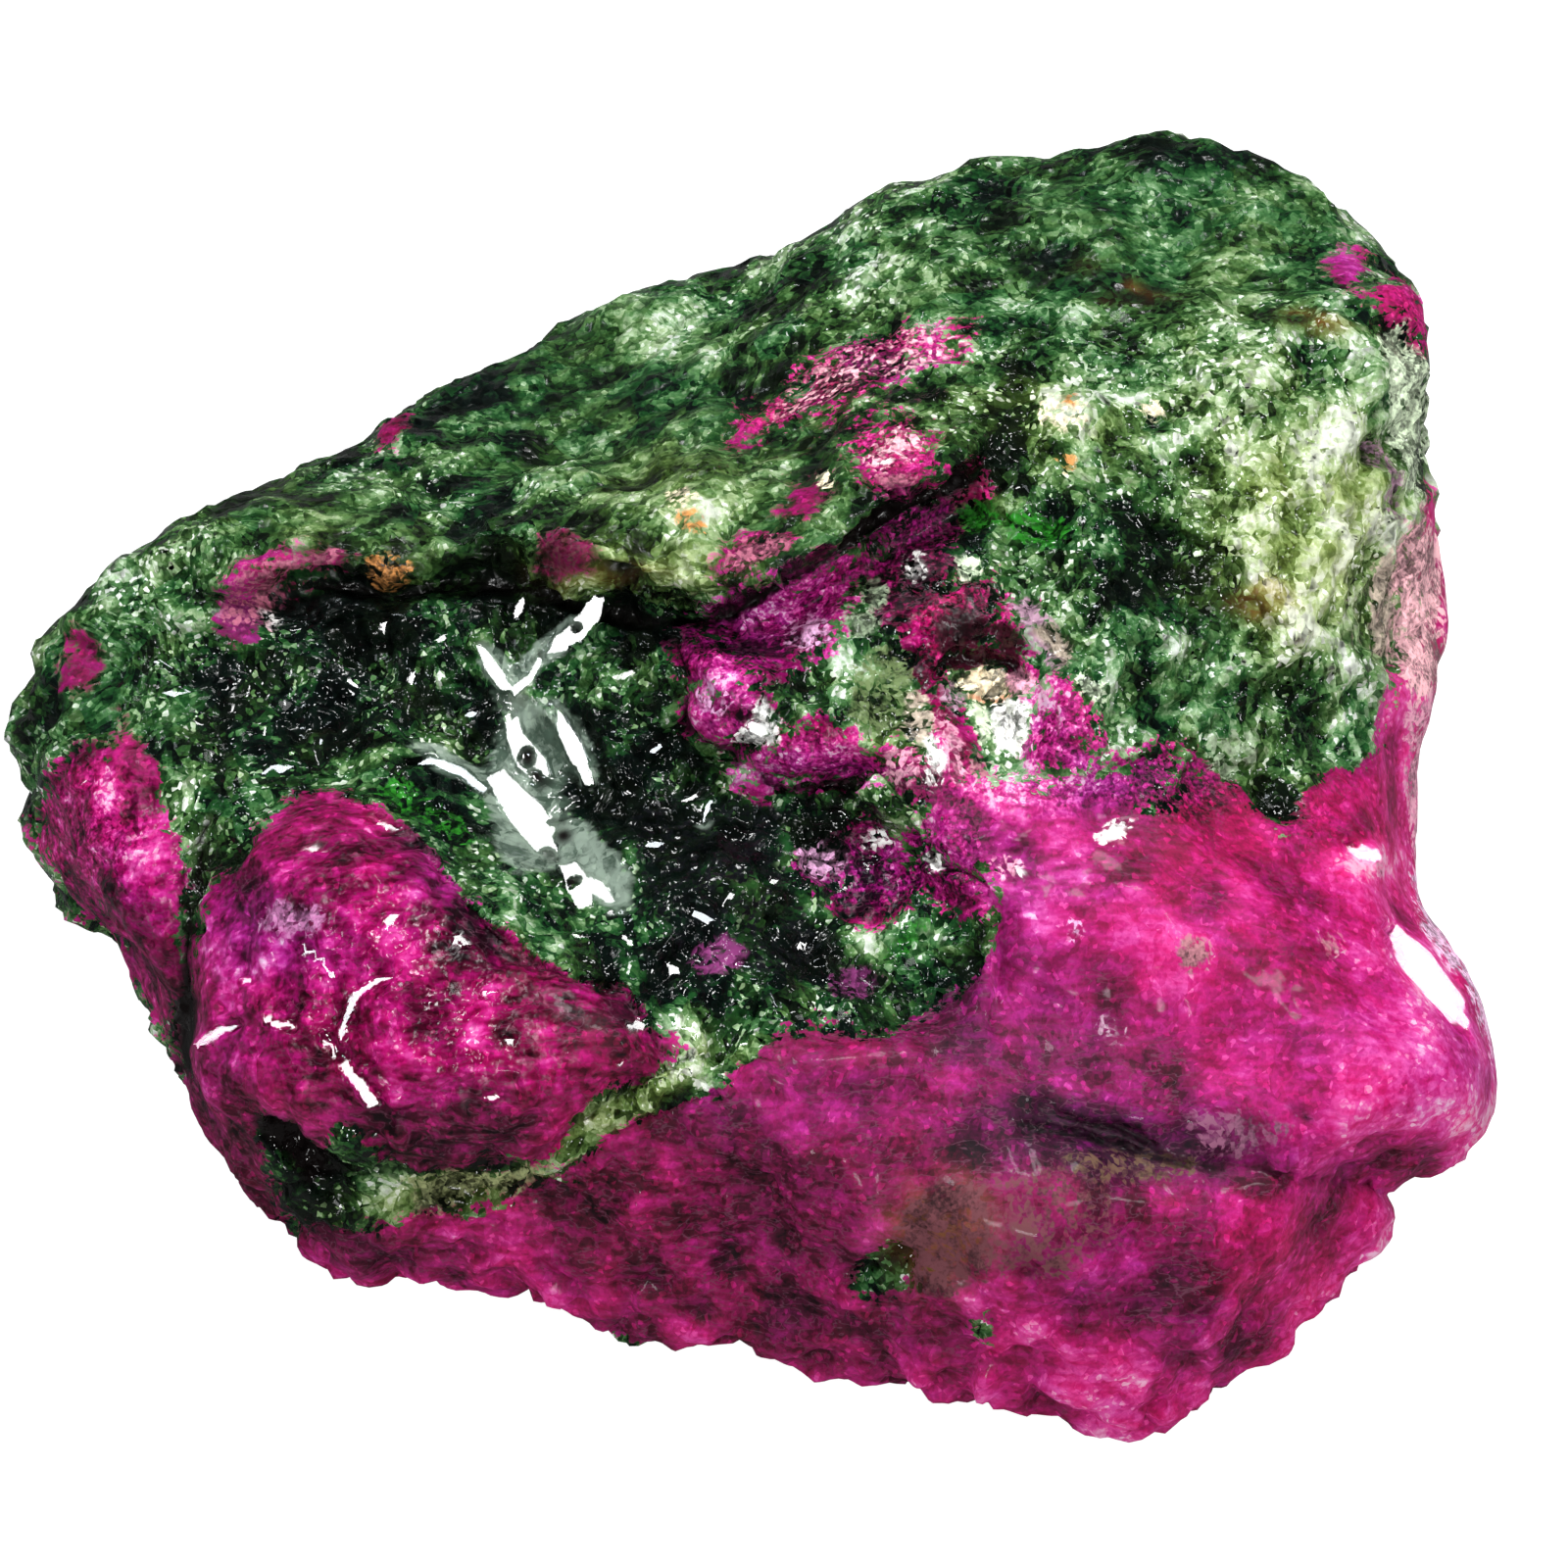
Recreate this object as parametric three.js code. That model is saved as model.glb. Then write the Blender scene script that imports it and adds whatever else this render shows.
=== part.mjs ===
// A rough piece of ruby in zoisite, one solid stone that lies on a broken flat.
// Millimetres, +Z up. The front is -Y, the long side runs along X, and the origin is on the ground,
// in the middle of the stone's width and depth.
//
// The stone is worked like a block. OUTLINE is its outline, drawn on a plane that leans back by
// FRONT_TILT, and FACES are the broken faces that take off the rest. Lumps, hollows, steps and
// cracks are then raised or sunk on the leaning front, at their places on the same plane.

import * as THREE from "three";
import { mergeVertices } from "three/addons/utils/BufferGeometryUtils.js";

const FRONT_TILT = 50; // degrees above the horizon from which the outline is seen
const EYE_DISTANCE = 300; // from the heart to the eye that sees the outline
const BASE_DEPTH = 14.5; // from the heart down to the flat that the stone lies on
const SPHERE_DETAIL = 21; // cuts of each edge of the icosahedron that becomes the stone
const FRONT_SHARE = 0.22; // how strongly the mesh is drawn together on the front
const EDGE_SHARPNESS = 22; // higher leaves crisper edges where two faces meet
const WALL_SHARPNESS = 34;
const STONE_COLOUR = 0x4a1f33;

// The outline, right and up of the heart, clockwise from the back peak.
const OUTLINE = [
  [15.6, 26.7], [18.8, 26.5], [20.8, 25.8], [22.8, 24.6], [24.4, 22.8], [25.6, 21.2], [26.8, 20.1],
  [27.4, 18.6], [27.3, 16.6], [26.9, 14.0], [27.4, 11.6], [27.9, 8.0], [27.8, 6.4], [27.4, 3.2],
  [26.7, 1.6], [26.7, -2.0], [26.3, -4.6], [28.0, -6.6], [29.4, -8.6], [30.2, -12.0], [29.8, -14.2],
  [28.4, -15.5], [26.4, -16.2], [25.2, -16.5], [25.5, -17.9], [24.3, -19.2], [23.3, -21.4],
  [22.8, -22.0], [20.8, -22.8], [19.2, -24.0], [18.4, -25.2], [17.6, -26.1], [16.0, -26.7],
  [13.6, -26.2], [11.5, -25.7], [9.4, -25.2], [5.2, -24.4], [0.8, -23.5], [-1.3, -22.5],
  [-5.2, -22.7], [-7.3, -21.8], [-8.8, -20.9], [-11.4, -20.5], [-14.2, -19.8], [-16.0, -20.2],
  [-17.6, -19.6], [-19.8, -17.6], [-21.2, -16.4], [-23.0, -13.8], [-24.4, -10.6], [-25.3, -8.6],
  [-26.9, -6.4], [-28.4, -5.7], [-29.4, -4.0], [-29.7, -2.1], [-30.7, 0.4], [-30.2, 4.0],
  [-29.3, 6.0], [-27.3, 8.0], [-25.2, 10.1], [-23.2, 11.2], [-19.2, 12.7], [-16.4, 14.0],
  [-15.2, 15.2], [-10.4, 17.6], [-8.0, 19.1], [-5.6, 20.2], [-1.2, 21.0], [1.6, 22.3],
  [4.8, 24.2], [8.8, 25.4], [12.8, 26.0],
];

// The broken faces. heading is in degrees round from the front (-Y) towards the right (+X), slope
// is the degrees that the face looks up, and reach is its distance from the heart.
const FACES = [
  { name: "top", heading: 5, slope: 70, reach: 12.4 },
  { name: "top, left half", heading: -40, slope: 66, reach: 12.0 },
  { name: "top, right half", heading: 62, slope: 62, reach: 15.8 },
  { name: "front", heading: -8, slope: 14, reach: 20.6 },
  { name: "front left", heading: -62, slope: 14, reach: 25.5 },
  { name: "front right", heading: 40, slope: 4, reach: 27.0 },
  { name: "right side", heading: 90, slope: 22, reach: 26.0 },
  { name: "right corner under", heading: 66, slope: -35, reach: 24.5 },
  { name: "left end", heading: -97, slope: 8, reach: 29.0 },
  { name: "left under", heading: -78, slope: -40, reach: 24.5 },
  { name: "front under", heading: 10, slope: -50, reach: 18.5 },
  { name: "back slope", heading: -165, slope: 68, reach: 12.3 },
  { name: "back slope, right", heading: 168, slope: 74, reach: 18.5 },
  { name: "back right", heading: 122, slope: 14, reach: 27.0 },
  { name: "back left", heading: -138, slope: 14, reach: 20.5 },
  { name: "back", heading: 178, slope: 8, reach: 22.0 },
  { name: "back right under", heading: 140, slope: -30, reach: 25 },
  { name: "back under", heading: -160, slope: -40, reach: 23 },
];

// Round swellings (height above 0) and hollows (below 0) of the front, at a place on the outline's
// plane, with half their length and width, and the degrees that the length is turned.
const SWELLINGS = [
  { name: "left ruby lump", at: [-15.2, -8.2], half: [9.6, 7.2], turn: -36, height: 4.2 },
  { name: "top of the lump", at: [-18.4, -4.0], half: [4.2, 3.0], turn: -20, height: 1.0 },
  { name: "lobe under it", at: [-20.3, -12.4], half: [3.6, 3.0], turn: 0, height: 1.2 },
  { name: "far left knob", at: [-27.0, -2.4], half: [3.4, 4.6], turn: 0, height: 1.2 },
  { name: "valley", at: [-9.2, -1.8], half: [6.0, 2.2], turn: -52, height: -1.6 },
  { name: "hollow, left part", at: [-6.0, 1.2], half: [8.0, 4.6], turn: -25, height: -2.0 },
  { name: "hollow, right part", at: [3.4, -4.2], half: [5.6, 4.6], turn: -30, height: -2.6 },
  { name: "left hollow", at: [-16.5, 3.6], half: [6.5, 2.8], turn: 0, height: -1.3 },
  { name: "middle ruby ridge", at: [0.6, 3.6], half: [5.4, 2.4], turn: -10, height: 1.5 },
  { name: "eye", at: [9.6, 3.2], half: [1.7, 2.2], turn: 0, height: -1.4 },
  { name: "eye rim", at: [12.6, 3.0], half: [1.5, 3.2], turn: 15, height: 1.0 },
  { name: "brow over the eye", at: [10.6, 7.4], half: [5.0, 1.8], turn: 10, height: 0.9 },
  { name: "right green swelling", at: [21.4, 8.6], half: [5.5, 8.0], turn: 5, height: 1.3 },
  { name: "dip beside it", at: [16.0, 9.0], half: [2.2, 7.0], turn: 12, height: -0.8 },
  { name: "pit under the step", at: [10.4, 14.6], half: [1.2, 2.2], turn: 0, height: -1.6 },
  { name: "pale knob", at: [12.8, 15.2], half: [1.9, 1.6], turn: 0, height: 1.0 },
  { name: "right ruby face", at: [20.0, -6.6], half: [7.0, 4.0], turn: -25, height: 1.1 },
  { name: "dip in the ruby", at: [11.0, -9.6], half: [6.0, 2.4], turn: -12, height: -1.2 },
  { name: "right corner", at: [26.6, -12.2], half: [4.4, 2.8], turn: 8, height: 1.8 },
  { name: "dark hole", at: [-19.2, -14.4], half: [2.0, 1.1], turn: -35, height: -1.8 },
  { name: "front belly", at: [9.0, -18.0], half: [5.0, 3.4], turn: -8, height: 0.9 },
  { name: "dip in the front", at: [2.0, -18.6], half: [3.2, 3.0], turn: 0, height: -0.8 },
  { name: "lower right buttress", at: [18.6, -21.4], half: [2.2, 5.0], turn: -18, height: 1.1 },
  { name: "bump on the back slope", at: [-15.2, 13.6], half: [1.3, 1.0], turn: 20, height: 0.7 },
  { name: "pink nub", at: [24.2, 21.2], half: [1.3, 1.2], turn: 0, height: 0.9 },
  { name: "edge nub", at: [26.4, 18.6], half: [1.2, 1.8], turn: 0, height: 0.9 },
];

// Steps run along a line. The side on the line's left stands higher by height, fading over fade.
const STEPS = [
  {
    name: "back ledge",
    line: [
      [8.8, 12.6], [6.4, 11.4], [4.0, 9.9], [1.2, 7.9], [-1.6, 7.2], [-5.0, 8.0], [-8.8, 9.3],
      [-12.2, 9.5], [-15.0, 8.7], [-18.0, 9.3], [-21.6, 8.2],
    ],
    height: -2.2,
    fade: 6,
  },
  {
    name: "upper ledge",
    line: [
      [-0.8, 14.6], [1.0, 16.2], [3.2, 17.8], [6.0, 18.5], [9.0, 18.7], [12.0, 18.6], [15.0, 17.6],
      [18.8, 15.8],
    ],
    height: 1.4,
    fade: 5,
  },
  {
    name: "left lump's upper edge",
    line: [
      [-19.2, -0.4], [-16.6, -0.5], [-14.2, -2.2], [-11.4, -5.6], [-8.8, -7.6], [-5.6, -8.6],
      [-4.4, -10.4],
    ],
    height: -1.6,
    fade: 4.5,
  },
  {
    name: "edge of the ruby round the hollow",
    line: [
      [-2.0, 1.0], [1.2, 0.2], [4.2, 0.5], [6.2, -1.2], [7.0, -3.4], [9.2, -4.2], [9.2, -6.4], [8.6, -8.2],
      [6.6, -9.6], [3.6, -10.4], [0.8, -10.6], [-1.4, -11.4],
    ],
    height: 1.6,
    fade: 3.5,
  },
  {
    name: "right flange",
    line: [
      [26.0, 15.0], [25.9, 10.0], [26.0, 4.0], [25.6, -2.0], [25.2, -4.0], [25.6, -6.4], [27.0, -8.8],
      [28.8, -10.6],
    ],
    height: -1.8,
    fade: 2.5,
  },
  {
    name: "fold above the front",
    line: [[-10.0, -16.2], [-6.0, -14.8], [-2.0, -12.0], [3.0, -12.2], [9.0, -13.6]],
    height: 0.9,
    fade: 3,
  },
];

// Cracks run along a line and are sunk by depth.
const CRACKS = [
  {
    name: "left seam",
    line: [[-22.4, -1.8], [-23.5, -5.0], [-24.0, -8.0], [-23.6, -11.0]],
    depth: 1.6,
    width: 0.9,
  },
  {
    name: "under the back ledge",
    line: [[8.6, 11.6], [6.0, 9.9], [3.2, 8.2], [0.6, 6.6], [-2.6, 6.6]],
    depth: 1.2,
    width: 0.9,
  },
  {
    name: "under the right corner",
    line: [[10.4, -13.8], [13.6, -14.6], [16.8, -15.4], [20.6, -15.7], [25.0, -16.4]],
    depth: 1.1,
    width: 1.0,
  },
  {
    name: "groove of the green vein",
    line: [[-18.6, -16.6], [-14.0, -16.6], [-10.0, -15.8], [-6.8, -13.8], [-3.4, -12.4], [-1.6, -10.8]],
    depth: 0.9,
    width: 1.2,
  },
];
const STEP_WIDTH = 1.3; // over which a step rises
const STEP_END = 1.5; // beyond the ends of its line a step dies away over this

// Flat chips all over: how wide they are and how far they stand in or out. The far side has them
// at full depth, and the front only in part.
const CHIPS = [
  { size: 9.5, depth: 1.5 },
  { size: 4.4, depth: 0.75 },
];
const CHIP_CRISPNESS = 13; // higher leaves narrower joins between chips
const FRONT_CHIPS = 0.45;

// Unevenness all over: the size of its waves and how far it goes in or out.
const ROUGHNESS = [
  { size: 15, depth: 0.9 },
  { size: 6.5, depth: 0.55 },
  { size: 3.0, depth: 0.3 },
];

const radians = THREE.MathUtils.degToRad;
const { smoothstep, lerp, clamp } = THREE.MathUtils;

// The axes of the outline's plane, and the way from it to the eye.
const tilt = radians(FRONT_TILT);
const RIGHT = new THREE.Vector3(1, 0, 0);
const UP = new THREE.Vector3(0, Math.sin(tilt), Math.cos(tilt));
const NEAR = new THREE.Vector3(0, -Math.cos(tilt), Math.sin(tilt));

// The outline as corners in order of their direction from the heart.
const outlineCorners = OUTLINE.map(([right, up]) => ({
  angle: Math.atan2(up, right),
  radius: Math.hypot(right, up),
})).sort((a, b) => a.angle - b.angle);

// How far the outline is from the heart, in a direction on its plane.
function outlineRadius(angle) {
  const count = outlineCorners.length;
  let next = outlineCorners.findIndex((corner) => corner.angle > angle);
  if (next < 0) next = 0;
  const a = outlineCorners[(next + count - 1) % count];
  const b = outlineCorners[next];
  const turn = 2 * Math.PI;
  const span = (b.angle - a.angle + turn) % turn;
  const part = ((angle - a.angle + turn) % turn) / span;
  return lerp(a.radius, b.radius, part);
}

// The unit vector that a face looks along.
function faceNormal({ heading, slope }) {
  const h = radians(heading);
  const s = radians(slope);
  return new THREE.Vector3(Math.sin(h) * Math.cos(s), -Math.cos(h) * Math.cos(s), Math.sin(s));
}

const faces = FACES.map((face) => ({ normal: faceNormal(face), reach: face.reach }));

// The least of several distances, rounded off where two are alike.
function roundedLeast(distances, sharpness) {
  const sum = distances.reduce((total, distance) => total + distance ** -sharpness, 0);
  return sum ** (-1 / sharpness);
}

// How far the block's surface is from the heart along a direction.
function blockRadius(direction) {
  const fromFaces = faces
    .map(({ normal, reach }) => ({ reach, lean: normal.dot(direction) }))
    .filter(({ lean }) => lean > 0.05)
    .map(({ reach, lean }) => reach / lean);
  const right = direction.dot(RIGHT);
  const up = direction.dot(UP);
  const across = Math.max(Math.hypot(right, up), 0.05);
  const wall = outlineRadius(Math.atan2(up, right)) / across;
  return roundedLeast([roundedLeast(fromFaces, EDGE_SHARPNESS), wall], WALL_SHARPNESS);
}

// A repeatable number from 0 to 1 for a corner of the noise's grid.
function gridValue(x, y, z) {
  const mixed = Math.sin(x * 127.1 + y * 311.7 + z * 74.7) * 43758.5453;
  return mixed - Math.floor(mixed);
}

// Smooth noise from -1 to 1 with waves of one unit.
function noise({ x, y, z }) {
  const [cellX, cellY, cellZ] = [x, y, z].map(Math.floor);
  const [partX, partY, partZ] = [x - cellX, y - cellY, z - cellZ].map((t) => t * t * (3 - 2 * t));
  const edge = (dy, dz) =>
    lerp(gridValue(cellX, cellY + dy, cellZ + dz), gridValue(cellX + 1, cellY + dy, cellZ + dz), partX);
  return 2 * lerp(lerp(edge(0, 0), edge(1, 0), partY), lerp(edge(0, 1), edge(1, 1), partY), partZ) - 1;
}

// Flat chips of one unit, each at its own height and tilt, from about -1 to 1.
function chips(point) {
  const steps = [-1, 0, 1];
  const cell = point.clone().floor();
  let total = 0;
  let weights = 0;
  for (const dx of steps) {
    for (const dy of steps) {
      for (const dz of steps) {
        const [x, y, z] = [cell.x + dx, cell.y + dy, cell.z + dz];
        const chance = (salt) => gridValue(x + salt, y - salt, z);
        const away = new THREE.Vector3(x + chance(0.1), y + chance(0.2), z + chance(0.3));
        away.subVectors(point, away);
        const tilt = new THREE.Vector3(chance(0.4) - 0.5, chance(0.5) - 0.5, chance(0.6) - 0.5);
        const weight = Math.exp(-CHIP_CRISPNESS * away.lengthSq());
        total += weight * (2 * chance(0.7) - 1 + 2 * tilt.dot(away));
        weights += weight;
      }
    }
  }
  return total / weights;
}

// How far the stone's unevenness goes out at a point.
function roughnessAt(point) {
  const front = smoothstep(point.dot(NEAR), -14, -4);
  const chipShare = lerp(1, FRONT_CHIPS, front);
  const waves = ROUGHNESS.map(({ size, depth }) => depth * noise(point.clone().divideScalar(size)));
  const flats = CHIPS.map(({ size, depth }) => chipShare * depth * chips(point.clone().divideScalar(size)));
  return [...waves, ...flats].reduce((total, height) => total + height, 0);
}

// The distance from a place to a line, with its side: above 0 on the line's left.
function besideLine([right, up], line) {
  let nearest = { distance: Infinity, side: 1, past: 0 };
  for (let i = 0; i + 1 < line.length; i++) {
    const [ax, ay] = line[i];
    const [bx, by] = line[i + 1];
    const along = ((right - ax) * (bx - ax) + (up - ay) * (by - ay)) / ((bx - ax) ** 2 + (by - ay) ** 2);
    const part = clamp(along, 0, 1);
    const distance = Math.hypot(right - lerp(ax, bx, part), up - lerp(ay, by, part));
    if (distance < nearest.distance) {
      const side = Math.sign((bx - ax) * (up - ay) - (by - ay) * (right - ax)) || 1;
      nearest = { distance, side, past: Math.abs(along - part) * Math.hypot(bx - ax, by - ay) };
    }
  }
  return nearest;
}

function swellingHeight(place, { at, half, turn, height }) {
  const angle = radians(turn);
  const right = place[0] - at[0];
  const up = place[1] - at[1];
  const lengthwise = (right * Math.cos(angle) + up * Math.sin(angle)) / half[0];
  const crosswise = (up * Math.cos(angle) - right * Math.sin(angle)) / half[1];
  return height * Math.exp(-1.2 * (lengthwise ** 2 + crosswise ** 2));
}

function stepHeight(place, { line, height, fade }) {
  const { distance, side, past } = besideLine(place, line);
  const rise = smoothstep(side * distance, -STEP_WIDTH / 2, STEP_WIDTH / 2) - 0.5;
  return height * rise * Math.exp(-((distance / fade) ** 2) - past / STEP_END);
}

function crackHeight(place, { line, depth, width }) {
  const { distance } = besideLine(place, line);
  return -depth * Math.exp(-((distance / width) ** 2));
}

// How far the front's surface is raised towards the eye at a place on the outline's plane.
function reliefAt(place) {
  const sum = (forms, height) => forms.reduce((total, form) => total + height(place, form), 0);
  return sum(SWELLINGS, swellingHeight) + sum(STEPS, stepHeight) + sum(CRACKS, crackHeight);
}

// Where a point is seen on the outline's plane, and how near the eye it is.
function seen(point) {
  const near = point.dot(NEAR);
  const larger = EYE_DISTANCE / (EYE_DISTANCE - near);
  return { place: [point.dot(RIGHT) * larger, point.dot(UP) * larger], near };
}

// Widens or narrows the stone a little all round, so that it is seen to fill its outline.
function fitToOutline(points) {
  const sectors = 150;
  const widest = new Array(sectors).fill(0);
  const sectorOf = (angle) => ((angle + Math.PI) / (2 * Math.PI)) * sectors;
  const polar = points.map((point) => {
    const { place } = seen(point);
    return { angle: Math.atan2(place[1], place[0]), radius: Math.hypot(...place) };
  });
  for (const { angle, radius } of polar) {
    const sector = Math.floor(sectorOf(angle)) % sectors;
    widest[sector] = Math.max(widest[sector], radius / outlineRadius(angle));
  }
  points.forEach((point, i) => {
    const at = sectorOf(polar[i].angle) - 0.5 + sectors;
    const before = widest[Math.floor(at) % sectors];
    const after = widest[Math.ceil(at) % sectors];
    const factor = 1 / lerp(before, after, at % 1);
    const across = point.clone().addScaledVector(NEAR, -point.dot(NEAR));
    point.addScaledVector(across, factor - 1);
  });
}

// Sinks or raises the side that the eye sees, and leaves the rim and the far side alone.
function carveFront(points) {
  for (const point of points) {
    const { place, near } = seen(point);
    const rim = Math.hypot(...place) / outlineRadius(Math.atan2(place[1], place[0]));
    const share = smoothstep(near, -1, 5) * (1 - smoothstep(rim, 0.96, 1));
    point.addScaledVector(NEAR, share * reliefAt(place));
  }
}

// Cuts the underside off flat. A point below the cut moves back along its line to the heart.
function cutBase(points) {
  for (const point of points) {
    if (point.z < -BASE_DEPTH) point.multiplyScalar(-BASE_DEPTH / point.z);
  }
}

function stoneGeometry() {
  const sphere = new THREE.IcosahedronGeometry(1, SPHERE_DETAIL);
  sphere.deleteAttribute("normal");
  sphere.deleteAttribute("uv");
  const geometry = mergeVertices(sphere, 1e-5);
  const position = geometry.getAttribute("position");
  const points = [];
  for (let i = 0; i < position.count; i++) {
    const direction = new THREE.Vector3().fromBufferAttribute(position, i);
    direction.addScaledVector(NEAR, FRONT_SHARE).normalize();
    const point = direction.clone().multiplyScalar(blockRadius(direction));
    points.push(point.addScaledVector(direction, roughnessAt(point)));
  }
  fitToOutline(points);
  carveFront(points);
  cutBase(points);
  points.forEach(({ x, y, z }, i) => position.setXYZ(i, x, y, z));
  geometry.computeBoundingBox();
  const { min, max } = geometry.boundingBox;
  geometry.translate(-(min.x + max.x) / 2, -(min.y + max.y) / 2, -min.z);
  geometry.computeVertexNormals();
  return geometry;
}

const stone = new THREE.Mesh(
  stoneGeometry(),
  new THREE.MeshStandardMaterial({ color: STONE_COLOUR, roughness: 0.25, metalness: 0 }),
);
stone.name = "stone";

const part = new THREE.Group();
part.add(stone);

export default part;
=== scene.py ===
"""A wet, rough piece of ruby in zoisite on a pale floor.

The stone starts from its solid, is cut into a finer mesh, and gets its grain, its ruby and zoisite
areas and its wet skin. Places on the front are given as they are seen from the camera, in pixels of
a square picture 1600 wide, 25 to the millimetre. Lengths are in millimetres until the mesh is made.
"""
import math
from types import SimpleNamespace

import bmesh
import bpy
import numpy as np
from mathutils import Matrix, Vector


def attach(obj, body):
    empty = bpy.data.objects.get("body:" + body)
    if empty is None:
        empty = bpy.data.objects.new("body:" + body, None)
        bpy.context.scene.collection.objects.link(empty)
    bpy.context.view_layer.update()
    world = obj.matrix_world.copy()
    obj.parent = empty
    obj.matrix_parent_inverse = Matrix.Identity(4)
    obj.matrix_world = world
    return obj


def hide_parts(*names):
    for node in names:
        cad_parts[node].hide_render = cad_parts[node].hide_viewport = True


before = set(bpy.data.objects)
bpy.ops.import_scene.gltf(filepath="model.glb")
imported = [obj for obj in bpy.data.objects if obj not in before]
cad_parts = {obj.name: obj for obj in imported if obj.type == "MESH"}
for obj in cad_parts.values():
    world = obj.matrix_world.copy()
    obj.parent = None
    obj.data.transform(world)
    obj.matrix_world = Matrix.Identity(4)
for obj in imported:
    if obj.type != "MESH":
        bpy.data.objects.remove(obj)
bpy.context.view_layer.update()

MM = 0.001
FRONT_TILT = math.radians(50)
RIGHT = np.array([1.0, 0.0, 0.0])
UP = np.array([0.0, math.sin(FRONT_TILT), math.cos(FRONT_TILT)])
NEAR = np.array([0.0, -math.cos(FRONT_TILT), math.sin(FRONT_TILT)])
EYE_DISTANCE = 300.0
SENSOR_WIDTH = 36.0
PICTURE = 1600
PER_MM = 25.0
HEART = np.array([0.70, -1.06, 14.5])  # near the middle of the stone, where the lights are aimed
MIDDLE = HEART + 0.8 * RIGHT  # the point in the middle of the picture

# The lights: degrees round from the front towards the right and degrees up, then the distance and
# the width in metres, the watts and the colour.
LIGHTS = {
    "key": ((160, 72), 0.36, 0.066, 0.92, (1.0, 1.0, 1.0)),
    "right": ((75, 48), 0.40, 0.050, 0.52, (1.0, 1.0, 1.0)),
    "left": ((-95, 58), 0.40, 0.045, 0.42, (0.88, 0.94, 1.0)),
    "front": ((-12, 30), 0.45, 0.055, 0.75, (1.0, 1.0, 1.0)),
}
ROOM_GLOW = 0.06
FLOOR_GLOW = 0.93
FLOOR_REACH = 0.6
FLOOR_TO_CAMERA = (0.35, 0.35, 0.35, 1)
FLOOR_TO_STONE = (0.62, 0.62, 0.62, 1)
FLOOR_TO_GLOSS = (0.15, 0.15, 0.15, 1)
FULL_WHITE = (1, 1, 1, 1)
BLACK = (0, 0, 0, 1)

# The mesh and its forms.
MESH_CUTS = 3
SMOOTHING_ROUNDS = 8
LEDGE_WIDTH = 0.8
LEDGE_EDGE = 0.15
GLINT_RISE = 0.04
LENS_CORNERS = ((-1, 0), (-0.6, 0.75), (0, 1), (0.6, 0.75), (1, 0), (0.6, -0.75), (0, -1), (-0.6, -0.75))
OUTLINE_REACH = 14.0  # how far outside a small outline its depth still counts, in pixels
MARK_FADE = 0.7  # how steeply a mark ends at its edge

# The material.
CRYSTAL_GROUP_SIZE = 2.0
FULL_TURN = 6.2
BLADE_SIZE = 0.40
FLECK_SIZE = 0.19
RIPPLE_HEIGHT = 0.6 * MM
STONE_IOR = 1.29
WET_IOR = 1.5
WET_ROUGHNESS = 0.06
ZOISITE_COLOURS = [
    (0.0, (0.001, 0.002, 0.002)), (0.22, (0.003, 0.008, 0.006)), (0.42, (0.013, 0.075, 0.018)),
    (0.60, (0.078, 0.215, 0.072)), (0.78, (0.33, 0.50, 0.28)), (1.0, (0.85, 0.93, 0.84)),
]
OLIVE_COLOURS = [
    (0.0, (0.003, 0.004, 0.001)), (0.22, (0.012, 0.018, 0.003)), (0.42, (0.06, 0.085, 0.014)),
    (0.60, (0.20, 0.28, 0.07)), (0.78, (0.50, 0.60, 0.26)), (1.0, (0.90, 0.96, 0.72)),
]
CRIMSON_COLOURS = [
    (0.0, (0.010, 0.0005, 0.003)), (0.2, (0.085, 0.001, 0.016)), (0.42, (0.31, 0.002, 0.062)),
    (0.62, (0.64, 0.004, 0.14)), (0.82, (0.90, 0.03, 0.27)), (1.0, (0.96, 0.34, 0.52)),
]
VIOLET_COLOURS = [
    (0.0, (0.008, 0.001, 0.009)), (0.2, (0.055, 0.002, 0.038)), (0.42, (0.22, 0.007, 0.14)),
    (0.62, (0.47, 0.022, 0.30)), (0.82, (0.74, 0.13, 0.52)), (1.0, (0.92, 0.60, 0.84)),
]
RUST_COLOUR = (0.42, 0.17, 0.04, 1)
VEIN_COLOUR = (0.17, 0.06, 0.10, 1)
SKIN_COLOUR = (0.30, 0.38, 0.31, 1)
SKIN_SHADE = (0.07, 0.11, 0.08, 1)
# Painted shade: the nearly black of the cracks, holes and fold, also used for the films' dark droplets.
DROPLET_AND_CRACK_SHADE_COLOUR = (0.006, 0.004, 0.004, 1)

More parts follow.
